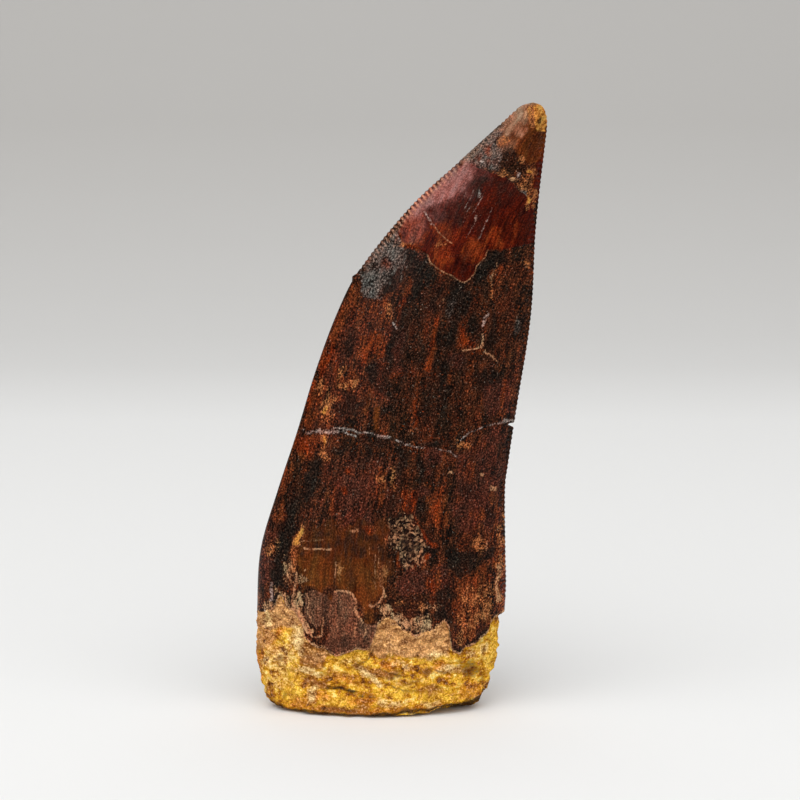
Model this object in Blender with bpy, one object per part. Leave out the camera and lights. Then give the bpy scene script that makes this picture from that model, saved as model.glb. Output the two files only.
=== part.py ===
"""A fossil tooth of a large meat-eating dinosaur, standing on the worn end of its root.

The tooth is one solid. The flattened crown has a keel down each edge, cut into small
denticles, and its enamel ends in a broken lip over the sandy root. Lengths are in
millimetres until MM turns them into metres. The front of the model, towards -Y, is the
broad face with the best enamel.
"""

import bisect
import math

import bmesh
import bpy

MM = 0.001

# Outline of the broad face, as x and z, from the top of the foot's rounding to the tip
LEADING_EDGE = [
    (-17.5, 3.4), (-18.2, 7.0), (-18.1, 12.2), (-17.6, 20.2), (-15.4, 27.8),
    (-12.9, 35.3), (-10.6, 42.8), (-7.8, 50.3), (-4.8, 56.0), (1.3, 63.5),
    (7.4, 69.1), (12.4, 73.6), (13.9, 75.0), (15.1, 75.9), (16.5, 76.3),
]
TRAILING_EDGE = [
    (12.0, 3.4), (13.1, 7.0), (13.3, 12.3), (13.5, 15.8), (13.4, 20.2), (13.3, 27.8),
    (13.7, 31.5), (14.8, 39.0), (16.0, 46.5), (16.6, 52.1), (16.9, 59.6), (17.4, 65.2),
    (18.0, 70.4), (18.3, 73.3), (18.2, 74.8), (17.6, 75.9), (16.5, 76.3),
]
OUTLINE_CENTRE_X = 0.04
OUTLINE_CENTRE_Y = -0.3

# Half the thickness of the front half at shares of the way up, and the back half's share of it
FRONT_SWELL = [
    (0.0, 6.3), (0.12, 6.6), (0.3, 6.0), (0.5, 4.9), (0.7, 3.8), (0.85, 2.9),
    (0.93, 2.2), (0.97, 1.6), (0.985, 1.2), (0.995, 0.7), (1.0, 0.0),
]
BACK_SHARE = 0.9
TIP_LEAN = 2.6
LEAN_POWER = 2.2

# How the section narrows to its keels: a low power makes a blunt edge, a high one a lens
ROOT_SECTION_POWER = 0.55
LEADING_SECTION_POWER = 0.66
TRAILING_SECTION_POWER = 0.78
CROWN_SECTION_FROM = 0.05
CROWN_SECTION_FULL = 0.4
KEEL_PINCH = 0.45
KEEL_WIDTH = 0.7

# Broken lower lip of the enamel on each face, as x and height, and the step below it
FRONT_LIP = [
    (-18.1, 12.2), (-16.6, 13.2), (-15.0, 15.0), (-13.5, 13.5), (-12.2, 11.6),
    (-11.2, 9.6), (-8.0, 8.2), (-5.2, 9.0), (-3.6, 9.5), (-2.7, 12.1), (-1.5, 12.8),
    (0.5, 11.3), (2.6, 10.8), (5.0, 12.0), (6.2, 11.3), (6.9, 8.2), (8.8, 8.9),
    (11.0, 10.5), (12.2, 12.1), (13.3, 12.4),
]
BACK_LIP = [
    (-18.1, 12.2), (-15.0, 10.4), (-11.5, 11.8), (-8.0, 9.2), (-4.0, 8.4), (0.0, 10.2),
    (3.5, 9.0), (7.0, 11.2), (10.0, 9.8), (13.3, 12.4),
]
LIP_SHARE = 0.118
LIP_REACH_UP = 0.11
LIP_DROP = 0.003
FACE_STEP = 0.5
TRAILING_STEP = 0.7
TRAILING_STEP_POWER = 4

# Denticles along the keels, and the length of each edge that still shows them
DENTICLE_PITCH = 0.63
LEADING_DENTICLE_DEPTH = 0.12
TRAILING_DENTICLE_DEPTH = 0.08
DENTICLE_ROOT = 0.6
LEADING_TEETH_FROM = 0.645
TRAILING_TEETH_FROM = 0.15
TEETH_TO = 0.975
WORN_FROM_HEIGHT = 69.2
WORN_TO_HEIGHT = 73.6
WORN_DEPTH_SHARE = 0.3

# A chip where the crown's old break reaches the trailing edge, and a spur on the other
CHIP_HEIGHT = 36.2
CHIP_DEPTH = 0.9
CHIP_HALF_HEIGHT = 0.28
SPUR_HEIGHT = 54.7
SPUR_OUT = 0.3
SPUR_HALF_HEIGHT = 0.5

# Hollows and swellings of the front face: x, height, half width, half height and rise
FACE_FORMS = [
    (1.3, 22.5, 2.2, 3.6, -0.55),
    (3.2, 23.8, 0.8, 2.6, 0.25),
    (13.9, 67.3, 1.6, 2.6, -0.35),
    (-6.8, 14.4, 1.6, 2.6, 0.25),
    (-0.5, 44.0, 3.0, 16.0, 0.22),
    (6.5, 36.0, 2.6, 18.0, -0.2),
    (-9.0, 26.0, 2.4, 12.0, -0.18),
    (-3.4, 5.7, 2.6, 0.9, 0.3),
    (-4.6, 4.2, 3.6, 0.6, -0.34),
    (-12.4, 8.8, 3.0, 1.6, 0.24),
    (8.6, 6.0, 1.5, 1.1, -0.3),
]
RELIEF_FADE = 1.7

# Lumps of the sandstone that cakes the root. Each wave is two crossing directions, in
# radians for each millimetre of x and of height, and its share of the lumps' height
LUMP_HEIGHT = 0.24
LUMP_WAVES = [
    ((0.95, 1.3), (-0.4, 0.7), 1.0),
    ((2.1, 0.0), (0.0, 1.9), 0.6),
]

# The worn end of the root: its flat foot, and how fully its two ends and its faces are
# rounded, where a low power is nearly square
FOOT_CENTRE_X = -4.4
FOOT_HALF_WIDTH = 9.4
FOOT_HALF_DEPTH = 5.0
LEADING_ROUNDING_POWER = 0.95
TRAILING_ROUNDING_POWER = 0.72
FACE_ROUNDING_POWER = 0.55
FOOT_RINGS = 6

# Underside chipped away towards the trailing edge, as x and height over the ground
UNDERSIDE = [
    (2.6, 0.0), (3.4, 0.3), (4.6, 0.95), (6.0, 1.2), (8.0, 1.5), (9.4, 1.7),
    (10.4, 2.3), (11.6, 2.9),
]

# Spacing of the loft, as shares of the way up and as places across
GRID_STEP = 0.0165
ROOT_GRID_STEP = 0.0131
TIP_ROWS = [0.95, 0.963, 0.974, 0.983, 0.99]
COLUMNS = 18
OUTERMOST_COLUMN = 0.915
SLOPE_SPAN = 0.01

FOSSIL_BROWN = (0.115, 0.045, 0.022, 1.0)


def clear_scene():
    """Removes every object of the start-up scene."""
    for old in list(bpy.data.objects):
        bpy.data.objects.remove(old, do_unlink=True)


def smoothstep(low, high, value):
    """0 below low, 1 above high, and an S-shaped rise between them."""
    t = min(1.0, max(0.0, (value - low) / (high - low)))
    return t * t * (3.0 - 2.0 * t)


def spike(distance, half_width):
    """A straight-sided peak: 1 at no distance, 0 from half_width on."""
    return max(0.0, 1.0 - abs(distance) / half_width)


def along(points, x):
    """Height at x of a smooth line through the points, which run in order of x.

    Each span is a cubic whose slope at a point is that of its two neighbours.
    """
    x = min(max(x, points[0][0]), points[-1][0])
    i = min(bisect.bisect_right([p[0] for p in points], x), len(points) - 1) - 1
    (x0, y0), (x1, y1) = points[i], points[i + 1]
    before, after = points[max(i - 1, 0)], points[min(i + 2, len(points) - 1)]
    slope_in = (y1 - before[1]) / (x1 - before[0])
    slope_out = (after[1] - y0) / (after[0] - x0)
    span, t = x1 - x0, (x - x0) / (x1 - x0)
    rise = (2 * t**3 - 3 * t**2 + 1) * y0 + (3 * t**2 - 2 * t**3) * y1
    return rise + span * ((t**3 - 2 * t**2 + t) * slope_in + (t**3 - t**2) * slope_out)


class Edge:
    """One edge of the outline: a smooth curve through its points, read by arc length."""

    SAMPLES_PER_SPAN = 24

    def __init__(self, points):
        ends = [points[0], *points, points[-1]]
        self.path = [points[0]]
        for i in range(1, len(ends) - 2):
            for step in range(1, self.SAMPLES_PER_SPAN + 1):
                self.path.append(self.spline(ends[i - 1 : i + 3], step / self.SAMPLES_PER_SPAN))
        self.lengths = [0.0]
        for a, b in zip(self.path, self.path[1:]):
            self.lengths.append(self.lengths[-1] + math.dist(a, b))

    @staticmethod
    def spline(four, t):
        """Point at t on the span between the middle two of four points."""
        return tuple(
            0.5 * (2 * b + (c - a) * t + (2 * a - 5 * b + 4 * c - d) * t**2
                   + (3 * b - a - 3 * c + d) * t**3)
            for a, b, c, d in zip(*four)
        )

    @property
    def length(self):
        return self.lengths[-1]

    def at(self, share):
        """The point this share of the way from the root to the tip."""
        wanted = share * self.length
        i = min(max(bisect.bisect_right(self.lengths, wanted), 1), len(self.path) - 1)
        t = (wanted - self.lengths[i - 1]) / (self.lengths[i] - self.lengths[i - 1])
        (x0, z0), (x1, z1) = self.path[i - 1], self.path[i]
        return x0 + (x1 - x0) * t, z0 + (z1 - z0) * t

    def direction(self, share):
        """Unit direction of the edge there, towards the tip."""
        (x0, z0) = self.at(max(0.0, share - SLOPE_SPAN))
        (x1, z1) = self.at(min(1.0, share + SLOPE_SPAN))
        size = math.hypot(x1 - x0, z1 - z0)
        return (x1 - x0) / size, (z1 - z0) / size


LEADING, TRAILING = Edge(LEADING_EDGE), Edge(TRAILING_EDGE)


def width_at(share):
    """Distance between the two edges at a share of the way up."""
    return math.dist(LEADING.at(share), TRAILING.at(share))


def section(across, share):
    """Share of the swell left at a place across the tooth, from -1 to 1.

    A power of a parabola gives the lens, and a pinch near the edge draws out the keel.
    """
    edge_power = LEADING_SECTION_POWER if across < 0 else TRAILING_SECTION_POWER
    crown = smoothstep(CROWN_SECTION_FROM, CROWN_SECTION_FULL, share)
    power = ROOT_SECTION_POWER + (edge_power - ROOT_SECTION_POWER) * crown
    inward = width_at(share) / 2 * (1.0 - abs(across))
    pinch = 1.0 - crown * KEEL_PINCH * math.exp(-inward / KEEL_WIDTH)
    return max(0.0, 1.0 - across * across) ** power * pinch


def face_forms(x, z):
    """How far the hollows and swellings of the front face move it outwards."""
    return sum(
        rise * math.exp(-(((x - cx) / half_x) ** 2) - ((z - cz) / half_z) ** 2)
        for cx, cz, half_x, half_z, rise in FACE_FORMS
    )


def lumps(x, z, side):
    """Uneven relief of the caked root, from crossing waves that differ on the two faces."""
    return LUMP_HEIGHT * sum(
        part * math.sin(ax * x + az * z + side) * math.sin(bx * x + bz * z + 2 * side)
        for (ax, az), (bx, bz), part in LUMP_WAVES
    )


def surface(share, across, side, below_lip=False):
    """A point of the tooth: share up from root to tip, across from -1 at the leading
    edge to 1 at the trailing one, side -1 at the front and 1 at the back."""
    (x0, z0), (x1, z1) = LEADING.at(share), TRAILING.at(share)
    x = x0 + (x1 - x0) * (across + 1) / 2
    z = z0 + (z1 - z0) * (across + 1) / 2
    if below_lip:
        x -= TRAILING_STEP * max(across, 0.0) ** TRAILING_STEP_POWER
    lip = along(FRONT_LIP if side < 0 else BACK_LIP, x)
    flat_lip = (LEADING.at(LIP_SHARE)[1] + TRAILING.at(LIP_SHARE)[1]) / 2
    pull = smoothstep(0.0, LIP_SHARE, share)
    pull *= 1.0 - smoothstep(LIP_SHARE, LIP_SHARE + LIP_REACH_UP, share)
    z += pull * (lip - flat_lip)
    shape = section(across, share)
    relief = face_forms(x, z) if side < 0 else 0.0
    if below_lip:
        relief += lumps(x, z, side) - FACE_STEP
    swell = along(FRONT_SWELL, share) * (BACK_SHARE if side > 0 else 1.0)
    depth = swell * shape + relief * min(1.0, RELIEF_FADE * shape)
    return x, TIP_LEAN * share**LEAN_POWER + side * depth, z


def foot_point(turn, across, side):
    """A point of the root's rounded end: turn runs from 0 at its wall to 1 at the flat foot."""
    wall = surface(0.0, across, side, below_lip=True)
    angle = turn * math.pi / 2
    end_power = LEADING_ROUNDING_POWER if across < 0 else TRAILING_ROUNDING_POWER
    power = FACE_ROUNDING_POWER + (end_power - FACE_ROUNDING_POWER) * across * across
    inward = 1.0 - math.cos(angle) ** power if turn < 1.0 else 1.0
    foot = (
        FOOT_CENTRE_X + FOOT_HALF_WIDTH * across,
        side * FOOT_HALF_DEPTH * math.sqrt(max(0.0, 1.0 - across * across)),
    )
    x, y = (w + (f - w) * inward for w, f in zip(wall, foot))
    return x, y, max(wall[2] * (1.0 - math.sin(angle) ** power), along(UNDERSIDE, x))


def teeth_from(edge):
    """Share of the way up at which an edge's denticles start."""
    return LEADING_TEETH_FROM if edge is LEADING else TRAILING_TEETH_FROM


def nick(share, edge, crest):
    """How far a point of an edge moves outwards: denticles, the chip and the spur."""
    height = edge.at(share)[1]
    worn = edge is LEADING and WORN_FROM_HEIGHT < height < WORN_TO_HEIGHT
    depth = LEADING_DENTICLE_DEPTH if edge is LEADING else TRAILING_DENTICLE_DEPTH
    if worn:
        depth *= WORN_DEPTH_SHARE
    move = -depth if teeth_from(edge) < share < TEETH_TO and not crest else 0.0
    if edge is TRAILING:
        return move - CHIP_DEPTH * spike(height - CHIP_HEIGHT, CHIP_HALF_HEIGHT)
    return move + SPUR_OUT * spike(height - SPUR_HEIGHT, SPUR_HALF_HEIGHT)


def rows_of_loft():
    """Rows from the root's wall to the tip, as (share, whether it is below the lip)."""
    below = round(LIP_SHARE / ROOT_GRID_STEP)
    rows = [(LIP_SHARE * i / below, True) for i in range(below)]
    rows.append((LIP_SHARE - LIP_DROP, True))
    span = TIP_ROWS[0] - LIP_SHARE
    above = round(span / GRID_STEP)
    rows += [(LIP_SHARE + span * i / above, False) for i in range(above)]
    return rows + [(share, False) for share in TIP_ROWS]


def edge_shares(edge):
    """Shares along an edge with two points for each denticle, one at its crest and one in
    its notch, as (share, whether it is below the lip, whether it is a crest)."""
    points = [(share, below, True) for share, below in rows_of_loft() if share <= LIP_SHARE]
    first, last = teeth_from(edge), TIP_ROWS[-1]
    plain = round((first - LIP_SHARE) / GRID_STEP)
    points += [(LIP_SHARE + (first - LIP_SHARE) * i / plain, False, True) for i in range(1, plain)]
    count = round((last - first) * edge.length / DENTICLE_PITCH)
    step = (last - first) / (2 * count)
    return points + [(first + step * i, False, i % 2 == 0) for i in range(2 * count + 1)]


def bridge(bm, left, right):
    """Fills the strip between two lines of (share, vertex) that start and end together,
    taking the next triangle from whichever line lags behind."""
    i = j = 0
    while i < len(left) - 1 or j < len(right) - 1:
        from_left = j == len(right) - 1 or (
            i < len(left) - 1 and left[i + 1][0] <= right[j + 1][0]
        )
        if from_left:
            bm.faces.new((left[i][1], left[i + 1][1], right[j][1]))
            i += 1
        else:
            bm.faces.new((left[i][1], right[j + 1][1], right[j][1]))
            j += 1


def placed(bm, point):
    """A new vertex at a point of the outline's own frame."""
    x, y, z = point
    return bm.verts.new(((x - OUTLINE_CENTRE_X) * MM, (y - OUTLINE_CENTRE_Y) * MM, z * MM))


def keel_line(bm, edge, across):
    """Vertices down one serrated edge, which the front and the back faces share."""
    line = []
    for share, below, crest in edge_shares(edge):
        out = nick(share, edge, crest) * across
        x, y, z = surface(share, across, -1, below)
        dx, dz = edge.direction(share)
        line.append((share, placed(bm, (x + dz * out, y, z - dx * out))))
    return line


def inset(share):
    """How far from an edge, on the scale from -1 to 1, the denticles' roots lie."""
    return 2 * DENTICLE_ROOT / width_at(share)


def denticle_root_line(bm, edge, across, side):
    """Vertices where the denticles grow from the crown, a little inside the edge."""
    return [
        (share, placed(bm, surface(share, across * (1 - inset(share)), side, below)))
        for share, below, _ in edge_shares(edge)
    ]


def column_positions():
    """Places across the tooth of the loft's columns, closer together near the edges."""
    half = (COLUMNS - 1) / 2
    return [OUTERMOST_COLUMN * math.sin((i - half) / half * math.pi / 2) for i in range(COLUMNS)]


def fill_grid(bm, columns):
    """Joins neighbouring columns of equal length with quads."""
    for left, right in zip(columns, columns[1:]):
        for (_, a), (_, b), (_, c), (_, d) in zip(left, left[1:], right[1:], right):
            bm.faces.new((a, b, c, d))


def close_with_fan(bm, ring, point):
    """Closes a ring of vertices with triangles that meet at a point."""
    middle = placed(bm, point)
    for a, b in zip(ring, ring[1:] + ring[:1]):
        bm.faces.new((a, b, middle))


def build_crown(bm):
    """Lofts both faces between the two keels, and closes the tip.

    Returns the ring of vertices round the top of the foot's rounding, in order.
    """
    leading, trailing = keel_line(bm, LEADING, -1.0), keel_line(bm, TRAILING, 1.0)
    rows, places = rows_of_loft(), column_positions()
    base_ring, tip_ring = [], []
    for side in (-1, 1):
        columns = [
            [(share, placed(bm, surface(share, across, side, below))) for share, below in rows]
            for across in places
        ]
        left_root = denticle_root_line(bm, LEADING, -1.0, side)
        right_root = denticle_root_line(bm, TRAILING, 1.0, side)
        fill_grid(bm, [leading, left_root])
        bridge(bm, left_root, columns[0])
        fill_grid(bm, columns)
        bridge(bm, columns[-1], right_root)
        fill_grid(bm, [right_root, trailing])
        lines = [leading, left_root, *columns, right_root, trailing]
        lines = lines[:-1] if side < 0 else lines[:0:-1]
        base_ring += [line[0][1] for line in lines]
        tip_ring += [line[-1][1] for line in lines]
    close_with_fan(bm, tip_ring, surface(1.0, 0.0, -1))
    return base_ring


def build_foot(bm, ring):
    """Rounds the root's end in from its wall and closes it with the flat foot."""
    half_ring = [-1.0, inset(0.0) - 1.0, *column_positions(), 1.0 - inset(0.0)]
    around = [(across, -1) for across in half_ring]
    around += [(across, 1) for across in (1.0, *half_ring[:0:-1])]
    for number in range(1, FOOT_RINGS + 1):
        lower = [placed(bm, foot_point(number / FOOT_RINGS, a, side)) for a, side in around]
        for i in range(len(ring)):
            j = (i + 1) % len(ring)
            bm.faces.new((ring[i], lower[i], lower[j], ring[j]))
        ring = lower
    close_with_fan(bm, ring, (FOOT_CENTRE_X, 0.0, 0.0))


def fossil_material():
    """Polished brown fossil enamel."""
    material = bpy.data.materials.new("fossil_enamel")
    material.use_nodes = True
    shader = material.node_tree.nodes["Principled BSDF"]
    shader.inputs["Base Color"].default_value = FOSSIL_BROWN
    shader.inputs["Roughness"].default_value = 0.4
    shader.inputs["Metallic"].default_value = 0.0
    return material


def build_tooth(collection):
    """The whole tooth as one closed solid, its faces listed from the foot up."""
    bm = bmesh.new()
    build_foot(bm, build_crown(bm))
    bm.faces.sort(key=lambda face: face.calc_center_median().z)
    bmesh.ops.recalc_face_normals(bm, faces=bm.faces)
    mesh = bpy.data.meshes.new("tooth")
    bm.to_mesh(mesh)
    bm.free()
    mesh.materials.append(fossil_material())
    mesh.shade_smooth()
    mesh.set_sharp_from_angle(angle=math.radians(40))
    collection.objects.link(bpy.data.objects.new("tooth", mesh))


def main():
    clear_scene()
    collection = bpy.data.collections.new("fossil_tooth")
    bpy.context.scene.collection.children.link(collection)
    build_tooth(collection)


main()
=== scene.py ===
"""Looks of a fossil tooth: mottled, polished enamel over a root caked in sandstone.

The tooth is dressed in three closed skins that meet along its own lines: the crown above
an old break, the crown below it down to the enamel's broken lip, and the sandy root. Each
is a surface of two parameters, share up the tooth and place round its section, worked out
as whole arrays. The form is in millimetres, in the frame of its outline, until it is put
into a mesh. Stains, lines, painted highlights and painted shade are placed where the
photograph has them, in its pixels, and the view says at which pixel a place of the tooth
is seen.
"""

import logging
import math
from dataclasses import dataclass, field
from enum import Enum, IntEnum
from typing import ClassVar

import bpy
import numpy as np
import numpy.typing as npt
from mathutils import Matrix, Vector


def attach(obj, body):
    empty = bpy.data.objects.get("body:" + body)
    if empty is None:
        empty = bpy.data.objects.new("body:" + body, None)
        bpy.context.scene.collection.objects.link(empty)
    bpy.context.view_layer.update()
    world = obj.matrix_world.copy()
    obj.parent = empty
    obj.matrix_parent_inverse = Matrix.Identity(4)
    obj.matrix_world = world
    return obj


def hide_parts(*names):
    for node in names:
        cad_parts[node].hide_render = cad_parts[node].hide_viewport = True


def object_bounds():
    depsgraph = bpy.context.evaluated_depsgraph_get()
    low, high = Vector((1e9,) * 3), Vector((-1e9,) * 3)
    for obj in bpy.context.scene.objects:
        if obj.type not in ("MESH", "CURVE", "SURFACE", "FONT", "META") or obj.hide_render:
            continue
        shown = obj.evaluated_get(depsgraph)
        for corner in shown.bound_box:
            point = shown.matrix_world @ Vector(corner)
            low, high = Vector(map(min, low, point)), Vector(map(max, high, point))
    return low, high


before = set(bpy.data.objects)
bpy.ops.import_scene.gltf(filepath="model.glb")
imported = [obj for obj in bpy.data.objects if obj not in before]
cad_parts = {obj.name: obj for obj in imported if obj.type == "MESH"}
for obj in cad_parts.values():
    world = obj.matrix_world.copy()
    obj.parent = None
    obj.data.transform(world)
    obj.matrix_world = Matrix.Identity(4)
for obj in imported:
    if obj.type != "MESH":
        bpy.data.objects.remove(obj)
CAD_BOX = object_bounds()

LOG = logging.getLogger("fossil_tooth")

Array = npt.NDArray[np.float64]
Socket = bpy.types.NodeSocket
Rgb = tuple[float, float, float]
Display = tuple[int, int, int]
Triple = tuple[float, float, float]
Point = tuple[float, float]

MM = 0.001
OUTLINE_CENTRE = np.array([0.04, -0.3, 0.0])
SMALLEST = 1e-9

# A share up the tooth is taken as this many millimetres where something fades beside a line.
MM_PER_SHARE = 80.0


class Tint(Enum):
    """Stains, films and lines of the fossil, and painted light and shade; the value names the mesh attribute.
    """

    BLACK = "stain_black"
    TEAL = "stain_teal"
    RUST = "stain_rust"
    MAROON = "stain_maroon"
    AMBER = "enamel_amber"
    MAHOGANY = "enamel_mahogany"
    # Painted highlight: sheen of light on the enamel near the upper leading edge.
    PAINTED_EDGE_HIGHLIGHT = "painted_highlight_edge"
    # Painted highlight: sheen of light on the tip.
    PAINTED_TIP_HIGHLIGHT = "painted_highlight_tip"
    SCARLET = "enamel_scarlet"
    LILAC = "enamel_lilac"
    GRIT = "crust_grit"
    CRUST = "crust_orange"
    GOLD = "crust_gold"
    FILM = "film_sand"
    TAN = "line_tan"
    PALE = "line_pale"
    # Painted shade in the denticles' notches, and painted highlight on their crests.
    NOTCH_SHADING = "denticle_notch"
    CREST_HIGHLIGHT = "denticle_crest"
    YELLOW = "sand_yellow"
    ORANGE = "sand_orange"
    BROWN = "sand_brown"
    PEACH = "sand_peach"
    WHITE = "sand_white"
    # Dark stains, and painted shadow under the base's rim.
    DARK_AND_SHADOW = "dark_and_painted_shadow"


Masks = dict[Tint, Array]


class Seed(IntEnum):
    """Which noise field of its kind each use takes; octaves take the numbers after it."""

    LIP = 5
    BREAK = 9
    STREAKS = 11
    PORES = 23
    ROUGH = 37
    CLODS = 51
    GRAINS = 67
    RAGGED = 83
    PUSH_ACROSS = 101
    PUSH_DOWN = 131


def linear(red: int, green: int, blue: int) -> Rgb:
    """Linear colour for a display colour: ((c / 255 + 0.055) / 1.055) ** 2.4 for each channel c."""
    return tuple(((channel / 255 + 0.055) / 1.055) ** 2.4 for channel in (red, green, blue))


def smoothstep(low: float, high: float, value: Array) -> Array:
    """S-shaped rise: t squared times 3 minus 2 t, with t the clipped share from low to high."""
    t = np.clip((value - low) / (high - low), 0.0, 1.0)
    return t * t * (3.0 - 2.0 * t)


def bell(value: Array) -> Array:
    """Bell curve: e to the power of minus the square."""
    return np.exp(-(value**2))


def along(points: list[Point], x: Array) -> Array:
    """Smooth line through points that run in order of their first number.

    Each span is a cubic whose slope at a point is that of its two neighbours.

    Args:
        points: Places and the heights over them.
        x: Where the line is read; it is flat beyond its ends.

    Returns:
        The line's height at each x.
    """
    px, py = np.array(points).T
    slope = np.empty_like(py)
    slope[1:-1] = (py[2:] - py[:-2]) / (px[2:] - px[:-2])
    slope[0] = (py[1] - py[0]) / (px[1] - px[0])
    slope[-1] = (py[-1] - py[-2]) / (px[-1] - px[-2])
    x = np.clip(x, px[0], px[-1])
    i = np.clip(np.searchsorted(px, x, side="right") - 1, 0, len(px) - 2)
    span = px[i + 1] - px[i]
    t = (x - px[i]) / span
    rise = (2 * t**3 - 3 * t**2 + 1) * py[i] + (3 * t**2 - 2 * t**3) * py[i + 1]
    return rise + span * ((t**3 - 2 * t**2 + t) * slope[i] + (t**3 - t**2) * slope[i + 1])


class Hash:
    """Numbers of the hash that gives each corner of the noise's lattice its value."""

    AXES = np.array([73856093, 19349663, 83492791])
    SEED = 668265263
    MIX = 1274126177
    SHIFTS = (13, 16)
    POSITIVE = 0x7FFFFFFF
    LOW_BITS = 0xFFFF


def lattice_noise(points: Array, seed: int) -> Array:
    """Smooth noise from 0 to 1 in three dimensions.

    Every corner of a unit lattice has a value hashed from its place and the seed, and the
    eight round a point are blended by the smoothstep of its place in the cell.

    Args:
        points: Places, the last axis of length three.
        seed: Picks another field of the same kind.

    Returns:
        The noise at each place.
    """
    cell = np.floor(points).astype(np.int64)
    part = points - cell
    part = part * part * (3.0 - 2.0 * part)
    total = np.zeros(points.shape[:-1])
    for corner in np.ndindex(2, 2, 2):
        key = np.bitwise_xor.reduce((cell + np.array(corner)) * Hash.AXES, axis=-1)
        key = (key ^ seed * Hash.SEED) & Hash.POSITIVE
        key = (key ^ key >> Hash.SHIFTS[0]) * Hash.MIX & Hash.POSITIVE
        value = ((key ^ key >> Hash.SHIFTS[1]) & Hash.LOW_BITS) / Hash.LOW_BITS
        total += value * np.prod(np.where(corner, part, 1.0 - part), axis=-1)
    return total


def fractal_noise(points: Array, octaves: int, seed: int) -> Array:
    """Sum of octaves of lattice noise, each of twice the pitch and half the weight.

    Args:
        points: Places, the last axis of length three.
        octaves: How many octaves are added.
        seed: Picks another field of the same kind.

    Returns:
        The noise at each place, from -1 to 1.
    """
    total = np.zeros(points.shape[:-1])
    for octave in range(octaves):
        total += 0.5**octave * (2.0 * lattice_noise(points * 2.0**octave, seed + octave) - 1.0)
    return total / (2.0 - 2.0 ** (1 - octaves))


def distance_to_path(x: Array, y: Array, path: list[Point]) -> Array:
    """Shortest distance from each place to a path of straight runs.

    For each run the place is dropped onto its line, held between the run's two ends, and
    the shortest of those distances is kept.

    Args:
        x: Pixels across.
        y: Pixels down.
        path: Corner points of the path.

    Returns:
        The distance at each place, in pixels.
    """
    nearest = np.full(x.shape, np.inf)
    for (ax, ay), (bx, by) in zip(path[:-1], path[1:]):
        run_x, run_y = bx - ax, by - ay
        length_2 = max(run_x**2 + run_y**2, SMALLEST)
        t = np.clip(((x - ax) * run_x + (y - ay) * run_y) / length_2, 0.0, 1.0)
        nearest = np.minimum(nearest, np.hypot(x - ax - t * run_x, y - ay - t * run_y))
    return nearest


@dataclass(frozen=True)
class View:
    """The photograph's view of the tooth, in millimetres and the picture's pixels."""

    pitch: float = 8.0
    focal: float = 100.0
    sensor: float = 36.0
    frame_height: float = 100.0
    target_height: float = 39.45
    picture: float = 800.0

    def camera_place(self) -> Array:
        """Where the camera stands: back from the target along its line of sight.

        Returns:
            Millimetres across, back and up.
        """
        distance = self.frame_height * self.focal / self.sensor
        tilt = math.radians(self.pitch)
        return np.array([0.0, -distance * math.cos(tilt), self.target_height + distance * math.sin(tilt)])

    def pixels(self, grid: Array) -> Array:
        """Pixels at which places of the tooth are seen.

        A place is taken from the camera, split into its parts along the line of sight and
        up the picture, and divided by the depth.

        Args:
            grid: Places in the outline's frame, the last axis x, y and z.

        Returns:
            Pixels across and down, the last axis of length two.
        """
        tilt = math.radians(self.pitch)
        away = grid - OUTLINE_CENTRE - self.camera_place()
        depth = away[..., 1] * math.cos(tilt) - away[..., 2] * math.sin(tilt)
        up = away[..., 1] * math.sin(tilt) + away[..., 2] * math.cos(tilt)
        scale = self.picture * self.focal / self.sensor / depth
        return self.picture / 2 + np.stack([scale * away[..., 0], -scale * up], axis=-1)


VIEW = View()


@dataclass(frozen=True)
class Patch:
    """A soft-edged oval, whose lean is in degrees clockwise from upright."""

    softest: ClassVar[float] = 1.6
    sway_share: ClassVar[float] = 1.1

    x: float
    y: float
    half_width: float
    half_height: float
    lean: float = 0.0
    strength: float = 1.0
    softness: float = 7.0

    def box(self) -> tuple[Point, Point]:
        """Corners of the square that holds the oval and its soft edge."""
        reach = max(self.half_width, self.half_height) + self.softness
        return (self.x - reach, self.y - reach), (self.x + reach, self.y + reach)

    def mask(self, x: Array, y: Array) -> Array:
        """A half at the oval, rising to 1 inside and 0 outside over the softness.

        Args:
            x: Pixels across.
            y: Pixels down.

        Returns:
            That mask at each place, times the strength.
        """
        turn = math.radians(self.lean)
        dx, dy = x - self.x, y - self.y
        u = (dx * math.cos(turn) + dy * math.sin(turn)) / self.half_width
        v = (dy * math.cos(turn) - dx * math.sin(turn)) / self.half_height
        least = min(self.half_width, self.half_height)
        softness = min(self.softness, self.softest * least)
        return self.strength * np.clip(0.5 + (1.0 - np.hypot(u, v)) * least / softness, 0.0, 1.0)

    def sway(self) -> float:
        """How far, in pixels, noise pushes the oval's edge about."""
        return self.sway_share * min(self.softness, 2.0 * self.half_width, 2.0 * self.half_height)


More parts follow.
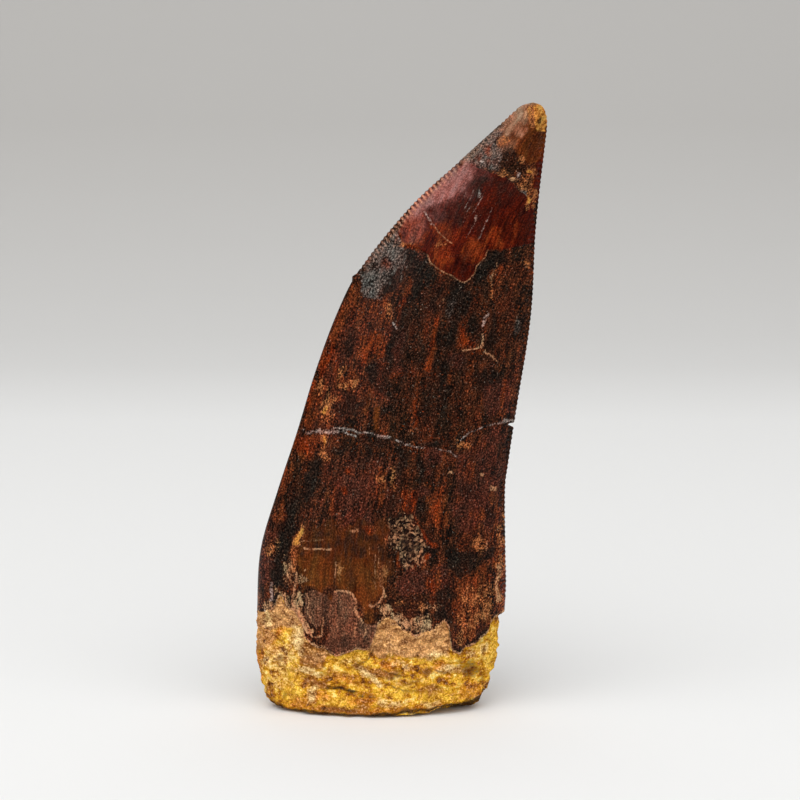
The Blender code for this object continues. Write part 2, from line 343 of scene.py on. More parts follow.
@dataclass(frozen=True)
class Area:
    """A region inside a ring of straight runs."""

    sway_share: ClassVar[float] = 1.4

    corners: list[Point]
    strength: float = 1.0
    softness: float = 6.0

    def box(self) -> tuple[Point, Point]:
        """Corners of the rectangle that holds the region and its soft edge."""
        corners = np.array(self.corners)
        return tuple(corners.min(axis=0) - self.softness), tuple(corners.max(axis=0) + self.softness)

    def mask(self, x: Array, y: Array) -> Array:
        """A half at the ring, rising to 1 inside and 0 outside over the softness.

        A place is inside where a line to the right of it crosses the ring an odd number
        of times.

        Args:
            x: Pixels across.
            y: Pixels down.

        Returns:
            That mask at each place, times the strength.
        """
        ring = [*self.corners, self.corners[0]]
        odd = np.zeros(x.shape, bool)
        for (ax, ay), (bx, by) in zip(ring[:-1], ring[1:]):
            if ay != by:
                spans = (ay > y) != (by > y)
                odd ^= spans & (x < ax + (y - ay) * (bx - ax) / (by - ay))
        distance = np.where(odd, 1.0, -1.0) * distance_to_path(x, y, ring)
        return self.strength * np.clip(0.5 + distance / self.softness, 0.0, 1.0)

    def sway(self) -> float:
        """How far, in pixels, noise pushes the region's edge about."""
        return self.sway_share * self.softness


@dataclass(frozen=True)
class Stroke:
    """A scratch, crack, vein or streak along a path."""

    least_sway: ClassVar[float] = 1.5
    sway_share: ClassVar[float] = 1.2

    path: list[Point]
    width: float = 1.2
    strength: float = 1.0

    def box(self) -> tuple[Point, Point]:
        """Corners of the rectangle that holds the stroke."""
        corners = np.array(self.path)
        return tuple(corners.min(axis=0) - 2 * self.width), tuple(corners.max(axis=0) + 2 * self.width)

    def mask(self, x: Array, y: Array) -> Array:
        """1 on the path, a half at the stroke's width from it and 0 at twice that."""
        return self.strength * np.clip(1.0 - 0.5 * distance_to_path(x, y, self.path) / self.width, 0.0, 1.0)

    def sway(self) -> float:
        """How far, in pixels, noise pushes the path about."""
        return self.least_sway + self.sway_share * self.width


Mark = Patch | Area | Stroke
Marks = dict[Tint, list[Mark]]


def ovals(*rows: tuple[float, ...]) -> list[Mark]:
    """Ovals from rows of place, half sizes, lean, strength and softness."""
    return [Patch(*row) for row in rows]


def areas(*rows: tuple[list[Point] | float, ...]) -> list[Mark]:
    """Regions from rows of corners, strength and softness."""
    return [Area(*row) for row in rows]


def strokes(*rows: tuple[list[Point] | float, ...]) -> list[Mark]:
    """Strokes from rows of path, width and strength."""
    return [Stroke(*row) for row in rows]


def painted(marks: list[Mark], pixels: Array, push: Array) -> Array:
    """The greatest of the marks' masks at each place.

    A mark is read only inside its box, at the place's pixel pushed about by noise as far
    as the mark sways.

    Args:
        marks: The marks of one tint.
        pixels: Pixels across and down, the last axis of length two.
        push: Noise from -1 to 1 of the same shape.

    Returns:
        The masks' maximum, from 0 to 1.
    """
    strongest = np.zeros(pixels.shape[:-1])
    for mark in marks:
        low, high = mark.box()
        near = ((pixels > np.array(low) - mark.sway()) & (pixels < np.array(high) + mark.sway())).all(axis=-1)
        x, y = (pixels[near] + mark.sway() * push[near]).T
        strongest[near] = np.maximum(strongest[near], mark.mask(x, y))
    return strongest


# Marks are placed by pixels across and down the photograph.

UPPER_ENAMEL: list[Point] = [
    (398, 230), (412, 205), (426, 190), (443, 175), (462, 160), (474, 166), (492, 172), (500, 174),
    (506, 177), (518, 190), (534, 200), (536, 242), (520, 246), (505, 248), (488, 250), (485, 256),
    (477, 266), (474, 274), (470, 281), (465, 283), (457, 280), (450, 276), (440, 270), (431, 266),
    (427, 254), (418, 248), (402, 244),
]
TIP_CRUST = Area([
    (529, 104), (534, 101), (546, 101), (549, 112), (547, 130), (538, 131), (532, 130), (528, 119),
], softness=3)

FRONT_MARKS: Marks = {
    Tint.BLACK: ovals(
        (520, 179, 3, 3), (465, 222, 9, 15, 25, 0.6), (426, 262, 5, 10, 10), (479, 273, 9, 13, 8),
        (459, 300, 10, 24, 8), (452, 335, 6, 20, 8, 0.8), (385, 281, 9, 17, 18, 0.7), (390, 350, 5, 25, 8),
        (350, 341, 8, 20, 20, 0.6), (374, 372, 6, 14, 14, 0.9), (456, 298, 9, 18, 8),
        (446, 378, 5, 26, 8, 0.7), (420, 350, 4, 22, 10, 0.7), (474, 324, 6, 13, 6, 0.85),
        (508, 312, 10, 30, 4, 0.35), (311, 480, 7, 25, 12), (289, 520, 7, 22, 14),
        (365, 455, 5, 16, 8, 0.7), (275, 602, 7, 10, 0, 0.75), (432, 444, 12, 4), (420, 470, 4, 17),
        (402, 464, 5, 22, 6, 0.7), (419, 507, 8, 10), (430, 548, 5, 14, -10), (489, 558, 4, 4),
        (489, 550, 5, 4), (442, 400, 7, 26, 8, 0.6), (468, 500, 6, 24, 4, 0.5), (300, 440, 3, 12, 12, 0.7),
        (376, 440, 16, 5, 8, 0.7), (505, 470, 5, 30, 0, 0.4), (403, 318, 5, 26, 12, 0.85),
        (434, 300, 5, 22, 10, 0.8), (492, 330, 5, 24, 4, 0.7), (404, 372, 5, 20, 8, 0.7),
        (428, 396, 4, 24, 6, 0.6), (339, 448, 8, 5, 0, 0.6), (392, 500, 6, 20, 6, 0.5),
    ) + areas(
        ([(404, 250), (440, 262), (470, 280), (492, 300), (478, 350), (470, 420), (440, 436), (412, 432),
          (398, 400), (392, 340)], 0.42, 30),
        ([(402, 248), (414, 246), (420, 256), (410, 278), (398, 290), (394, 274)], 0.6, 8),
        ([(414, 258), (426, 258), (431, 270), (424, 292), (412, 298), (410, 280)], 0.95, 6),
        ([(484, 246), (508, 244), (505, 260), (492, 268), (482, 262)], 0.95, 8),
        ([(500, 150), (512, 147), (519, 152), (518, 163), (510, 170), (500, 167)], 0.5),
        ([(336, 400), (352, 392), (366, 398), (360, 414), (344, 422), (334, 418)], 0.6, 16),
        ([(380, 378), (394, 374), (398, 392), (390, 424), (376, 424), (366, 418), (378, 404)], 0.7, 16),
        ([(478, 364), (492, 360), (498, 374), (490, 392), (480, 396), (474, 380)], 0.7, 14),
        ([(279, 530), (294, 530), (292, 548), (285, 560), (284, 585), (273, 590), (270, 572),
          (275, 550)], 0.95),
        ([(443, 550), (458, 546), (475, 552), (474, 570), (460, 576), (446, 572)], 0.7),
        ([(387, 600), (400, 595), (418, 595), (432, 600), (430, 612), (412, 614), (392, 612)], 0.6),
        ([(433, 588), (450, 584), (452, 606), (449, 626), (441, 622), (434, 616)], 0.75),
    ) + strokes(
        # The wide stroke from (455, 652) to (486, 633) is painted shade along the lobe's lower edge above the
        # lip.
        ([(467, 159), (482, 169)], 1), ([(455, 652), (464, 647), (474, 643), (486, 633)], 3, 0.6),
    ),
    Tint.TEAL: ovals(
        (433, 204, 10, 5, -20, 0.55), (524, 194, 5, 7, 0, 0.8), (518, 326, 4, 9, 4, 0.5),
        (450, 252, 8, 6, 0, 0.4), (388, 268, 5, 14, 20, 0.7), (404, 262, 4, 14, 22, 0.4),
        (452, 306, 4, 14, 8, 0.3),
    ) + areas(
        ([(472, 152), (486, 146), (500, 144), (501, 158), (498, 167), (484, 166), (474, 162)], 0.85),
        ([(361, 268), (372, 252), (386, 238), (390, 248), (380, 262), (370, 274)], 0.8),
        ([(386, 238), (396, 228), (405, 238), (402, 258), (394, 272), (384, 262)],),
        ([(356, 276), (370, 268), (384, 266), (386, 282), (376, 296), (364, 292)], 0.9),
    ) + strokes(
        ([(498, 129), (480, 144), (463, 158)], 6),
    ),
    Tint.RUST: ovals(
        (494, 273, 6, 8), (472, 370, 4, 8, 0, 0.85), (439, 506, 12, 20, 4, 0.75), (479, 515, 5, 4),
        (475, 597, 5, 7, 0, 0.9), (460, 570, 12, 10, 0, 0.5), (377, 288, 5, 6, 0, 0.6),
        (403, 276, 3, 14, 24, 0.8), (436, 282, 3, 12, 14, 0.6), (427, 330, 4, 14, 8, 0.7),
        (496, 505, 6, 16, 0, 0.55), (400, 322, 4, 14, 14, 0.6), (452, 390, 3, 20, 6, 0.6),
        (330, 500, 5, 14, 6, 0.6), (355, 540, 12, 8, 0, 0.6), (408, 445, 8, 4, 0, 0.5),
        (471, 470, 8, 14, 0, 0.5), (384, 320, 4, 10, 14, 0.6),
    ) + areas(
        ([(361, 336), (378, 332), (387, 344), (380, 361), (364, 365), (359, 350)], 0.95),
        ([(334, 369), (350, 366), (359, 378), (352, 392), (337, 391)], 0.85),
        ([(314, 378), (323, 384), (321, 408), (312, 426), (303, 422), (306, 400)], 0.9),
        ([(297, 433), (312, 436), (319, 446), (314, 460), (299, 460), (293, 446)], 0.9),
        ([(424, 576), (438, 572), (442, 586), (432, 594), (424, 590)],),
        ([(454, 580), (486, 570), (494, 600), (484, 630), (462, 648), (454, 630)], 0.9, 8),
        ([(388, 596), (432, 596), (434, 612), (388, 614)], 0.55, 8),
        ([(352, 284), (372, 296), (392, 292), (394, 310), (372, 318), (346, 316), (344, 300)], 0.6, 14),
        ([(348, 306), (388, 300), (392, 340), (372, 424), (330, 426), (306, 404), (322, 350)], 0.34, 18),
        ([(452, 568), (488, 566), (490, 588), (454, 590)], 0.65),
    ) + strokes(
        ([(347, 308), (337, 332), (326, 358)], 4), ([(331, 349), (323, 364)], 3),
        ([(369, 391), (366, 412)], 2.6), ([(390, 377), (402, 373), (420, 374)], 2.4),
        ([(440, 317), (436, 331), (432, 353), (426, 369)], 3), ([(414, 404), (416, 427)], 2),
        ([(421, 376), (417, 394), (416, 410)], 3), ([(417, 274), (406, 293)], 2.6),
        ([(467, 319), (459, 330), (460, 346), (470, 350), (482, 351)], 2.2),
        ([(505, 380), (503, 416)], 2.2, 0.85), ([(382, 470), (381, 504)], 3),
        ([(288, 469), (283, 492), (279, 518)], 4), ([(501, 528), (500, 570), (501, 611)], 4, 0.9),
    ),
    Tint.MAROON: ovals(
        (490, 144, 6, 4, 40, 0.9), (480, 152, 6, 3, 40, 0.8), (488, 160, 8, 4, 0, 0.7),
        (399, 350, 7, 19, 6), (457, 361, 7, 6), (495, 438, 14, 12, 0, 0.65), (380, 400, 8, 24, 8, 0.5),
        (433, 457, 9, 8), (404, 586, 9, 11, 0, 0.8), (273, 549, 8, 18, 4, 0.8), (428, 472, 4, 6),
        (421, 492, 6, 5),
    ) + areas(
        ([(340, 300), (366, 290), (396, 296), (400, 330), (392, 372), (360, 420), (312, 424),
          (318, 360)], 0.62, 16),
        ([(356, 262), (398, 230), (420, 246), (424, 262), (398, 290), (370, 300)], 0.7, 14),
        ([(484, 380), (513, 378), (512, 414), (486, 416)], 0.85),
        ([(336, 472), (370, 474), (374, 524), (338, 528), (330, 500)], 0.72, 10),
        ([(455, 452), (502, 446), (505, 524), (456, 528)], 0.72, 14),
        ([(404, 566), (428, 572), (450, 560), (451, 586), (424, 592), (404, 588)], 0.75),
        ([(264, 530), (272, 528), (272, 560), (270, 582), (256, 584), (256, 560)], 0.95),
        ([(452, 612), (470, 600), (490, 606), (502, 612), (486, 636), (464, 651), (451, 654),
          (450, 630)], 0.5),
        ([(266, 532), (300, 470), (296, 500), (278, 566)], 0.4),
        ([(318, 452), (400, 450), (402, 520), (310, 524)], 0.42, 20),
    ),
    Tint.AMBER: ovals(
        (536, 180, 6, 16, 6, 0.6),
    ) + areas(
        ([(494, 138), (512, 112), (528, 98), (550, 100), (549, 150), (545, 161), (528, 163), (512, 150),
          (500, 144)], 1, 5),
        ([(301, 532), (330, 526), (384, 524), (387, 562), (380, 590), (372, 614), (360, 614), (355, 596),
          (340, 588), (330, 592), (318, 592), (303, 594), (295, 572)], 1, 14),
    ) + strokes(
        ([(377, 409), (377, 428)], 2.6),
    ),
    Tint.DARK_AND_SHADOW: ovals(
        (352, 576, 6, 14, 0, 0.5), (379, 570, 4, 20, 0, 0.5), (343, 645, 9, 8, 0, 0.6),
        (330, 648, 10, 6, 0, 0.6), (362, 646, 8, 6, 0, 0.5), (326, 612, 3, 22, 0, 0.8),
        (540, 140, 3, 16, 6, 0.4), (530, 150, 4, 10, 10, 0.4), (456, 222, 4, 22, 26, 0.5),
        (502, 200, 3, 20, 14, 0.5), (522, 212, 3, 14, 8, 0.5), (478, 224, 4, 16, 24, 0.5),
        (465, 262, 4, 12, 20, 0.5), (443, 236, 4, 10, 30, 0.5), (508, 190, 3, 10, 20, 0.5),
        (411, 544, 9, 10, 0, 0.6), (541, 122, 2, 3), (405, 560, 6, 6, 0, 0.5),
    ) + areas(
        ([(302, 530), (384, 524), (386, 560), (372, 566), (350, 556), (304, 554)], 0.72, 20),
        ([(476, 172), (496, 175), (487, 190), (479, 203), (469, 212), (464, 200), (468, 186)], 0.62, 6),
        ([(452, 207), (470, 201), (480, 212), (474, 226), (458, 228), (450, 218)], 0.6, 10),
        ([(427, 210), (446, 203), (468, 196), (474, 212), (462, 231), (444, 229), (432, 221)], 0.45, 12),
        ([(494, 180), (512, 178), (520, 192), (510, 201), (498, 198)], 0.5, 8),
    ) + strokes(
        ([(334, 545), (335, 570), (333, 592)], 3, 0.6),
    ),
    Tint.MAHOGANY: ovals((539, 178, 6, 24, 6, 0.9)) + areas((UPPER_ENAMEL, 1, 2)),
    # Painted highlight: sheen of light on the enamel near the upper leading edge.
    Tint.PAINTED_EDGE_HIGHLIGHT: areas(
        ([(403, 220), (411, 204), (426, 189), (443, 173), (461, 159), (472, 163), (477, 167), (476, 175),
          (467, 184), (461, 193), (448, 200), (434, 207), (420, 214), (410, 221)], 0.95, 9),
        ([(462, 158), (486, 170), (476, 190), (456, 204), (440, 211), (424, 226), (400, 240),
          (436, 180)], 0.34, 16),
    ),
    # Painted highlight: sheen of light on the tip.
    Tint.PAINTED_TIP_HIGHLIGHT: ovals(
        (508, 146, 9, 5, -30, 0.3),
    ) + areas(
        ([(496, 129), (507, 111), (519, 103), (528, 99), (525, 114), (518, 124), (511, 132),
          (499, 142)], 0.95, 12),
    ),
    Tint.SCARLET: ovals(
        (401, 560, 4, 5), (346, 471, 2.5, 3), (342, 491, 2.5, 3), (368, 529, 4, 3),
        (461, 228, 3, 12, 30, 0.7), (512, 232, 3, 12, 10, 0.6), (471, 213, 3, 8, 30, 0.6),
        (488, 150, 6, 3, 40, 0.6), (369, 262, 3, 8, 30, 0.5), (384, 264, 3, 8, 30, 0.45),
        (398, 240, 3, 7, 30, 0.5), (479, 156, 6, 3, 40, 0.5), (492, 162, 7, 3, 0, 0.55),
        (301, 446, 8, 8, 0, 0.55), (431, 582, 6, 6, 0, 0.7), (404, 300, 3, 14, 20, 0.5),
    ) + areas(
        ([(430, 247), (446, 244), (450, 260), (441, 272), (434, 267)], 0.8, 10),
        ([(404, 224), (413, 206), (424, 210), (427, 236), (416, 250), (402, 246)], 0.75),
        ([(434, 222), (448, 220), (456, 236), (450, 250), (434, 250)], 0.95),
        ([(462, 243), (478, 235), (483, 250), (474, 264), (462, 262)], 0.8, 10),
        ([(482, 232), (502, 228), (500, 246), (484, 250)], 0.85),
    ) + strokes(
        ([(413, 519), (420, 529), (427, 540), (435, 547)], 2), ([(414, 495), (412, 512)], 2.4, 0.9),
        ([(405, 493), (405, 518)], 2.6, 0.9), ([(428, 556), (412, 567)], 2),
        ([(333, 346), (326, 362), (320, 376)], 2.4, 0.75), ([(374, 334), (370, 350), (366, 362)], 4, 0.7),
        ([(437, 320), (432, 345), (427, 368)], 2.4, 0.8), ([(462, 330), (466, 344), (476, 350)], 3, 0.8),
        ([(416, 400), (415, 426)], 1.8, 0.8), ([(312, 384), (306, 410)], 2.6, 0.65),
        ([(440, 495), (436, 520)], 3, 0.6), ([(502, 530), (503, 600)], 2.4, 0.7),
    ),
    Tint.LILAC: ovals(
        (257, 600, 3, 12),
    ) + areas(
        ([(333, 594), (346, 590), (354, 600), (355, 609), (362, 622), (379, 624), (379, 640), (372, 648),
          (350, 653), (333, 655), (324, 650), (328, 640), (329, 620), (331, 604)], 1, 2),
        ([(304, 597), (318, 591), (331, 598), (329, 624), (316, 630), (305, 618)], 1, 3),
    ),
    Tint.GRIT: areas(
        ([(388, 521), (402, 515), (413, 518), (419, 528), (427, 541), (427, 553), (423, 562), (410, 572),
          (403, 570), (401, 560), (397, 549), (390, 534)], 1, 5),
    ),
    Tint.CRUST: ovals(
        (522, 160, 3, 4), (504, 172, 5, 3), (531, 172, 5, 4), (525, 182, 4, 5), (504, 141, 7, 4, -30, 0.85),
        (541, 121, 2, 3, 0, 1, 2), (328, 407, 6, 14, 8, 0.95), (343, 370, 4, 4), (354, 384, 4, 3),
        (343, 388, 4, 3), (380, 479, 4, 3), (462, 444, 4, 4), (480, 544, 7, 6, 0, 0.6), (506, 521, 3, 5),
        (471, 601, 7, 9, 0, 0.7), (481, 618, 5, 10, 10, 0.6), (504, 562, 3, 6, 0, 0.9),
        (468, 608, 5, 10, 0, 0.55), (474, 628, 4, 7, 10, 0.6), (487, 606, 4, 10, 10, 0.6),
        (460, 640, 4, 5, 0, 0.5), (468, 586, 5, 6, 0, 0.5), (399, 604, 8, 4, 0, 0.5),
        (420, 606, 8, 4, 0, 0.5), (381, 572, 4, 9, 0, 0.9), (273, 548, 7, 10, 0, 0.5),
        (388, 311, 4, 10, 0, 0.55), (340, 571, 3, 9, 0, 0.7), (320, 386, 3, 6, 12, 0.8), (527, 264, 5, 3),
        (440, 246, 9, 3, -10, 0.5), (404, 244, 10, 3, -14, 0.6), (505, 540, 2, 4), (497, 588, 3, 5, 0, 0.8),
    ) + areas(
        ([(528, 103), (540, 103), (539, 128), (531, 126), (527, 114)], 0.9, 4),
        ([(457, 584), (496, 582), (494, 616), (478, 636), (463, 645), (456, 630)], 0.4, 8),
    ) + strokes(
        ([(530, 190), (528, 209)], 2), ([(535, 191), (534, 207)], 1.8),
        ([(492, 285), (491, 298)], 1.2, 0.7), ([(323, 433), (324, 457)], 3.2),
        ([(302, 529), (297, 537), (295, 548), (292, 568)], 2.4), ([(392, 467), (393, 490)], 2.6, 0.6),
        ([(499, 566), (498, 582), (500, 602)], 2.2, 0.9), ([(501, 528), (500, 552)], 1.6, 0.8),
    ),
    Tint.GOLD: ovals(
        (532, 112, 3, 8, 10, 0.45), (326, 411, 3, 5, 0, 0.8), (324, 441, 2, 5, 0, 0.8),
        (529, 172, 3, 2, 0, 0.8), (529, 200, 2, 6, 0, 0.7),
    ) + areas(
        ([(537, 104), (547, 101), (549, 112), (547, 131), (538, 130), (535, 116)], 1, 4),
    ) + strokes(
        ([(530, 101), (545, 101)], 1.5, 0.7), ([(301, 531), (297, 537), (296, 543)], 1.8),
    ),
    Tint.FILM: ovals(
        (288, 568, 5, 14, 0, 0.5), (515, 179, 4, 3), (307, 570, 3, 3, 0, 0.5), (300, 580, 4, 8, 0, 0.5),
        (275, 590, 4, 4, 0, 0.6), (284, 602, 5, 8, 0, 0.75), (384, 612, 5, 7, 0, 0.85),
        (268, 606, 5, 5, 0, 0.7), (382, 596, 3, 7, 0, 0.4), (430, 606, 14, 6, 0, 0.3),
    ) + areas(
        ([(291, 592), (298, 593), (302, 606), (302, 618), (313, 632), (306, 634), (298, 624),
          (293, 610)], 0.95, 4),
        ([(388, 614), (410, 616), (430, 612), (434, 628), (414, 633), (398, 629), (388, 623)], 0.6, 6),
    ) + strokes(
        ([(500, 566), (497, 580), (499, 600)], 1.8, 0.9),
    ),
    Tint.TAN: ovals(
        (444, 299, 1.2, 1.4, 0, 0.8), (483, 476, 2, 2), (494, 488, 2, 2), (449, 473, 2, 2),
        (354, 531, 5, 2, 0, 0.7),
    ) + strokes(
        ([(427, 254), (431, 264), (440, 270), (450, 276), (457, 280), (465, 283), (470, 280), (474, 274),
          (477, 266), (485, 256), (488, 250)], 0.7, 0.75),
        ([(434, 225), (438, 232), (444, 238), (452, 243)], 0.6, 0.8), ([(482, 334), (483, 348)], 0.9, 0.9),
        ([(463, 351), (482, 348)], 0.8, 0.8), ([(485, 352), (497, 361)], 0.9, 0.9),
        ([(526, 103), (525, 118)], 1.5), ([(497, 262), (492, 275), (492, 288)], 0.8, 0.6),
        ([(334, 593), (340, 591), (346, 591), (352, 594), (355, 599), (356, 605), (354.5, 609), (356, 615),
          (362, 622)], 1),
        ([(379.5, 585), (383, 589), (383, 595), (379.5, 602), (374, 606), (370, 605)], 0.8),
        ([(296, 572), (294, 587), (292, 596), (292, 605), (296, 612), (300, 619), (306, 626)], 1),
        ([(375, 555), (375, 589)], 0.5, 0.6), ([(378, 541), (378, 582)], 0.5, 0.5),
        ([(369, 541), (369, 560)], 0.5, 0.5), ([(304, 548), (318, 549), (330, 549)], 0.9),
        ([(300, 541), (323, 539)], 0.7, 0.6), ([(335.5, 562), (335.5, 577)], 0.8, 0.8),
        ([(307, 628), (312, 638), (318, 638), (323, 636), (324, 617)], 0.8, 0.9),
        ([(298, 596), (306, 594), (309, 600), (308, 614), (314, 626)], 0.7, 0.8),
        ([(355, 625), (354, 636)], 0.7), ([(366, 625), (363, 636)], 0.7),
        ([(396, 629), (404, 632), (414, 636), (425, 633)], 0.8), ([(487, 540), (486, 550)], 1, 0.8),
    ),
    Tint.PALE: ovals(
        # The speck at (519.6, 174) is a painted glint.
        (323, 431, 15, 2.4, 2, 0.7), (482, 160, 1.8, 1.8), (519.6, 174, 1.8, 2.2),
        (480, 194, 1.2, 3, 0, 0.6),
    ) + strokes(
        ([(306, 434), (316, 432)], 1, 0.7), ([(321, 433), (334, 428), (350, 429), (358, 432)], 0.9, 0.75),
        ([(326, 430), (344, 432), (356, 436)], 0.8, 0.7), ([(356, 431), (372, 434), (388, 437)], 0.8, 0.75),
        ([(378, 436), (388, 438)], 1, 0.8), ([(396, 441), (412, 445), (424, 448)], 0.9, 0.6),
        ([(436, 449), (450, 453), (458, 457)], 0.8, 0.5),
        ([(460, 441), (468, 434), (480, 428), (500, 423), (508, 420)], 0.7, 0.6),
        ([(505, 421), (514, 421)], 1.4), ([(424, 212), (427, 218), (434, 225)], 0.8, 0.8),
        ([(492, 207), (484, 225), (476, 242)], 0.5, 0.4), ([(475, 221), (466, 238)], 0.5, 0.4),
        ([(480, 191), (478, 197)], 0.7, 0.6), ([(467, 204), (465, 209)], 0.7, 0.6),
        ([(477, 216), (475, 220)], 0.7, 0.6), ([(393, 323), (396, 329)], 0.9),
        # The stroke from (270.5, 584) to (270, 599) is a painted highlight: sheen of light on the lower
        # crown's left edge.
        ([(488, 314), (482, 327)], 0.9, 0.9), ([(270.5, 584), (270, 599)], 1.3),
        ([(265, 612), (266, 618)], 1.4, 0.8), ([(474, 190), (468, 203)], 0.5, 0.45),
        ([(483, 196), (473, 215)], 0.5, 0.45), ([(470, 208), (463, 222)], 0.5, 0.4),
        ([(466, 192), (461, 202)], 0.5, 0.4), ([(490, 214), (478, 240)], 0.4, 0.4),
    ),
}

BACK_MARKS: Marks = {
    Tint.BLACK: ovals(
        (430, 300, 9, 60, 14, 0.8, 14), (350, 420, 8, 60, 16, 0.8, 14), (470, 470, 8, 44, 4),
        (300, 540, 9, 50, 8), (400, 560, 26, 22, 0, 0.7, 16), (500, 170, 12, 20, 16), (500, 330, 5, 44, 6),
        (440, 610, 24, 9), (410, 400, 40, 60, 12, 0.4, 24),
    ),
    Tint.TEAL: areas(
        ([(360, 278), (376, 254), (398, 232), (408, 246), (396, 264), (382, 286), (370, 296)], 0.9, 10),
        ([(462, 162), (480, 146), (498, 140), (500, 156), (484, 166)], 0.8, 8),
    ),
    Tint.RUST: ovals(
        (390, 340, 8, 50, 16), (460, 400, 7, 60, 8), (330, 480, 8, 40, 14), (420, 500, 10, 40, 4),
        (480, 560, 10, 30), (350, 580, 14, 26), (470, 260, 10, 30, 14), (380, 460, 60, 50, 10, 0.6, 24),
    ),
    Tint.MAROON: ovals((500, 400, 14, 60, 4), (380, 400, 16, 30, 16, 0.7), (300, 610, 30, 14)),
    Tint.AMBER: ovals((430, 560, 40, 30, 0, 0.9), (536, 150, 10, 16)),
    Tint.MAHOGANY: areas(
        ([(404, 216), (426, 190), (462, 160), (492, 150), (534, 180), (534, 262), (506, 270), (480, 252),
          (452, 262), (426, 240)], 1, 3),
    ),
    # Painted highlight: sheen of light near the upper leading edge.
    Tint.PAINTED_EDGE_HIGHLIGHT: areas(([(410, 214), (440, 180), (462, 164), (470, 176), (446, 200), (424, 220)], 0.8, 14)),
    Tint.SCARLET: ovals((470, 232, 12, 16, 20), (440, 236, 8, 10, 20)),
    Tint.CRUST: ovals((526, 190, 6, 14, 6, 0.8), (320, 404, 5, 18, 14, 0.7)),
    Tint.GOLD: [TIP_CRUST],
    Tint.PALE: strokes(
        ([(300, 438), (316, 434), (330, 430), (342, 433), (360, 430), (380, 431), (400, 436), (418, 440),
          (440, 446), (458, 440), (480, 432), (514, 424)], 1),
    ),
}

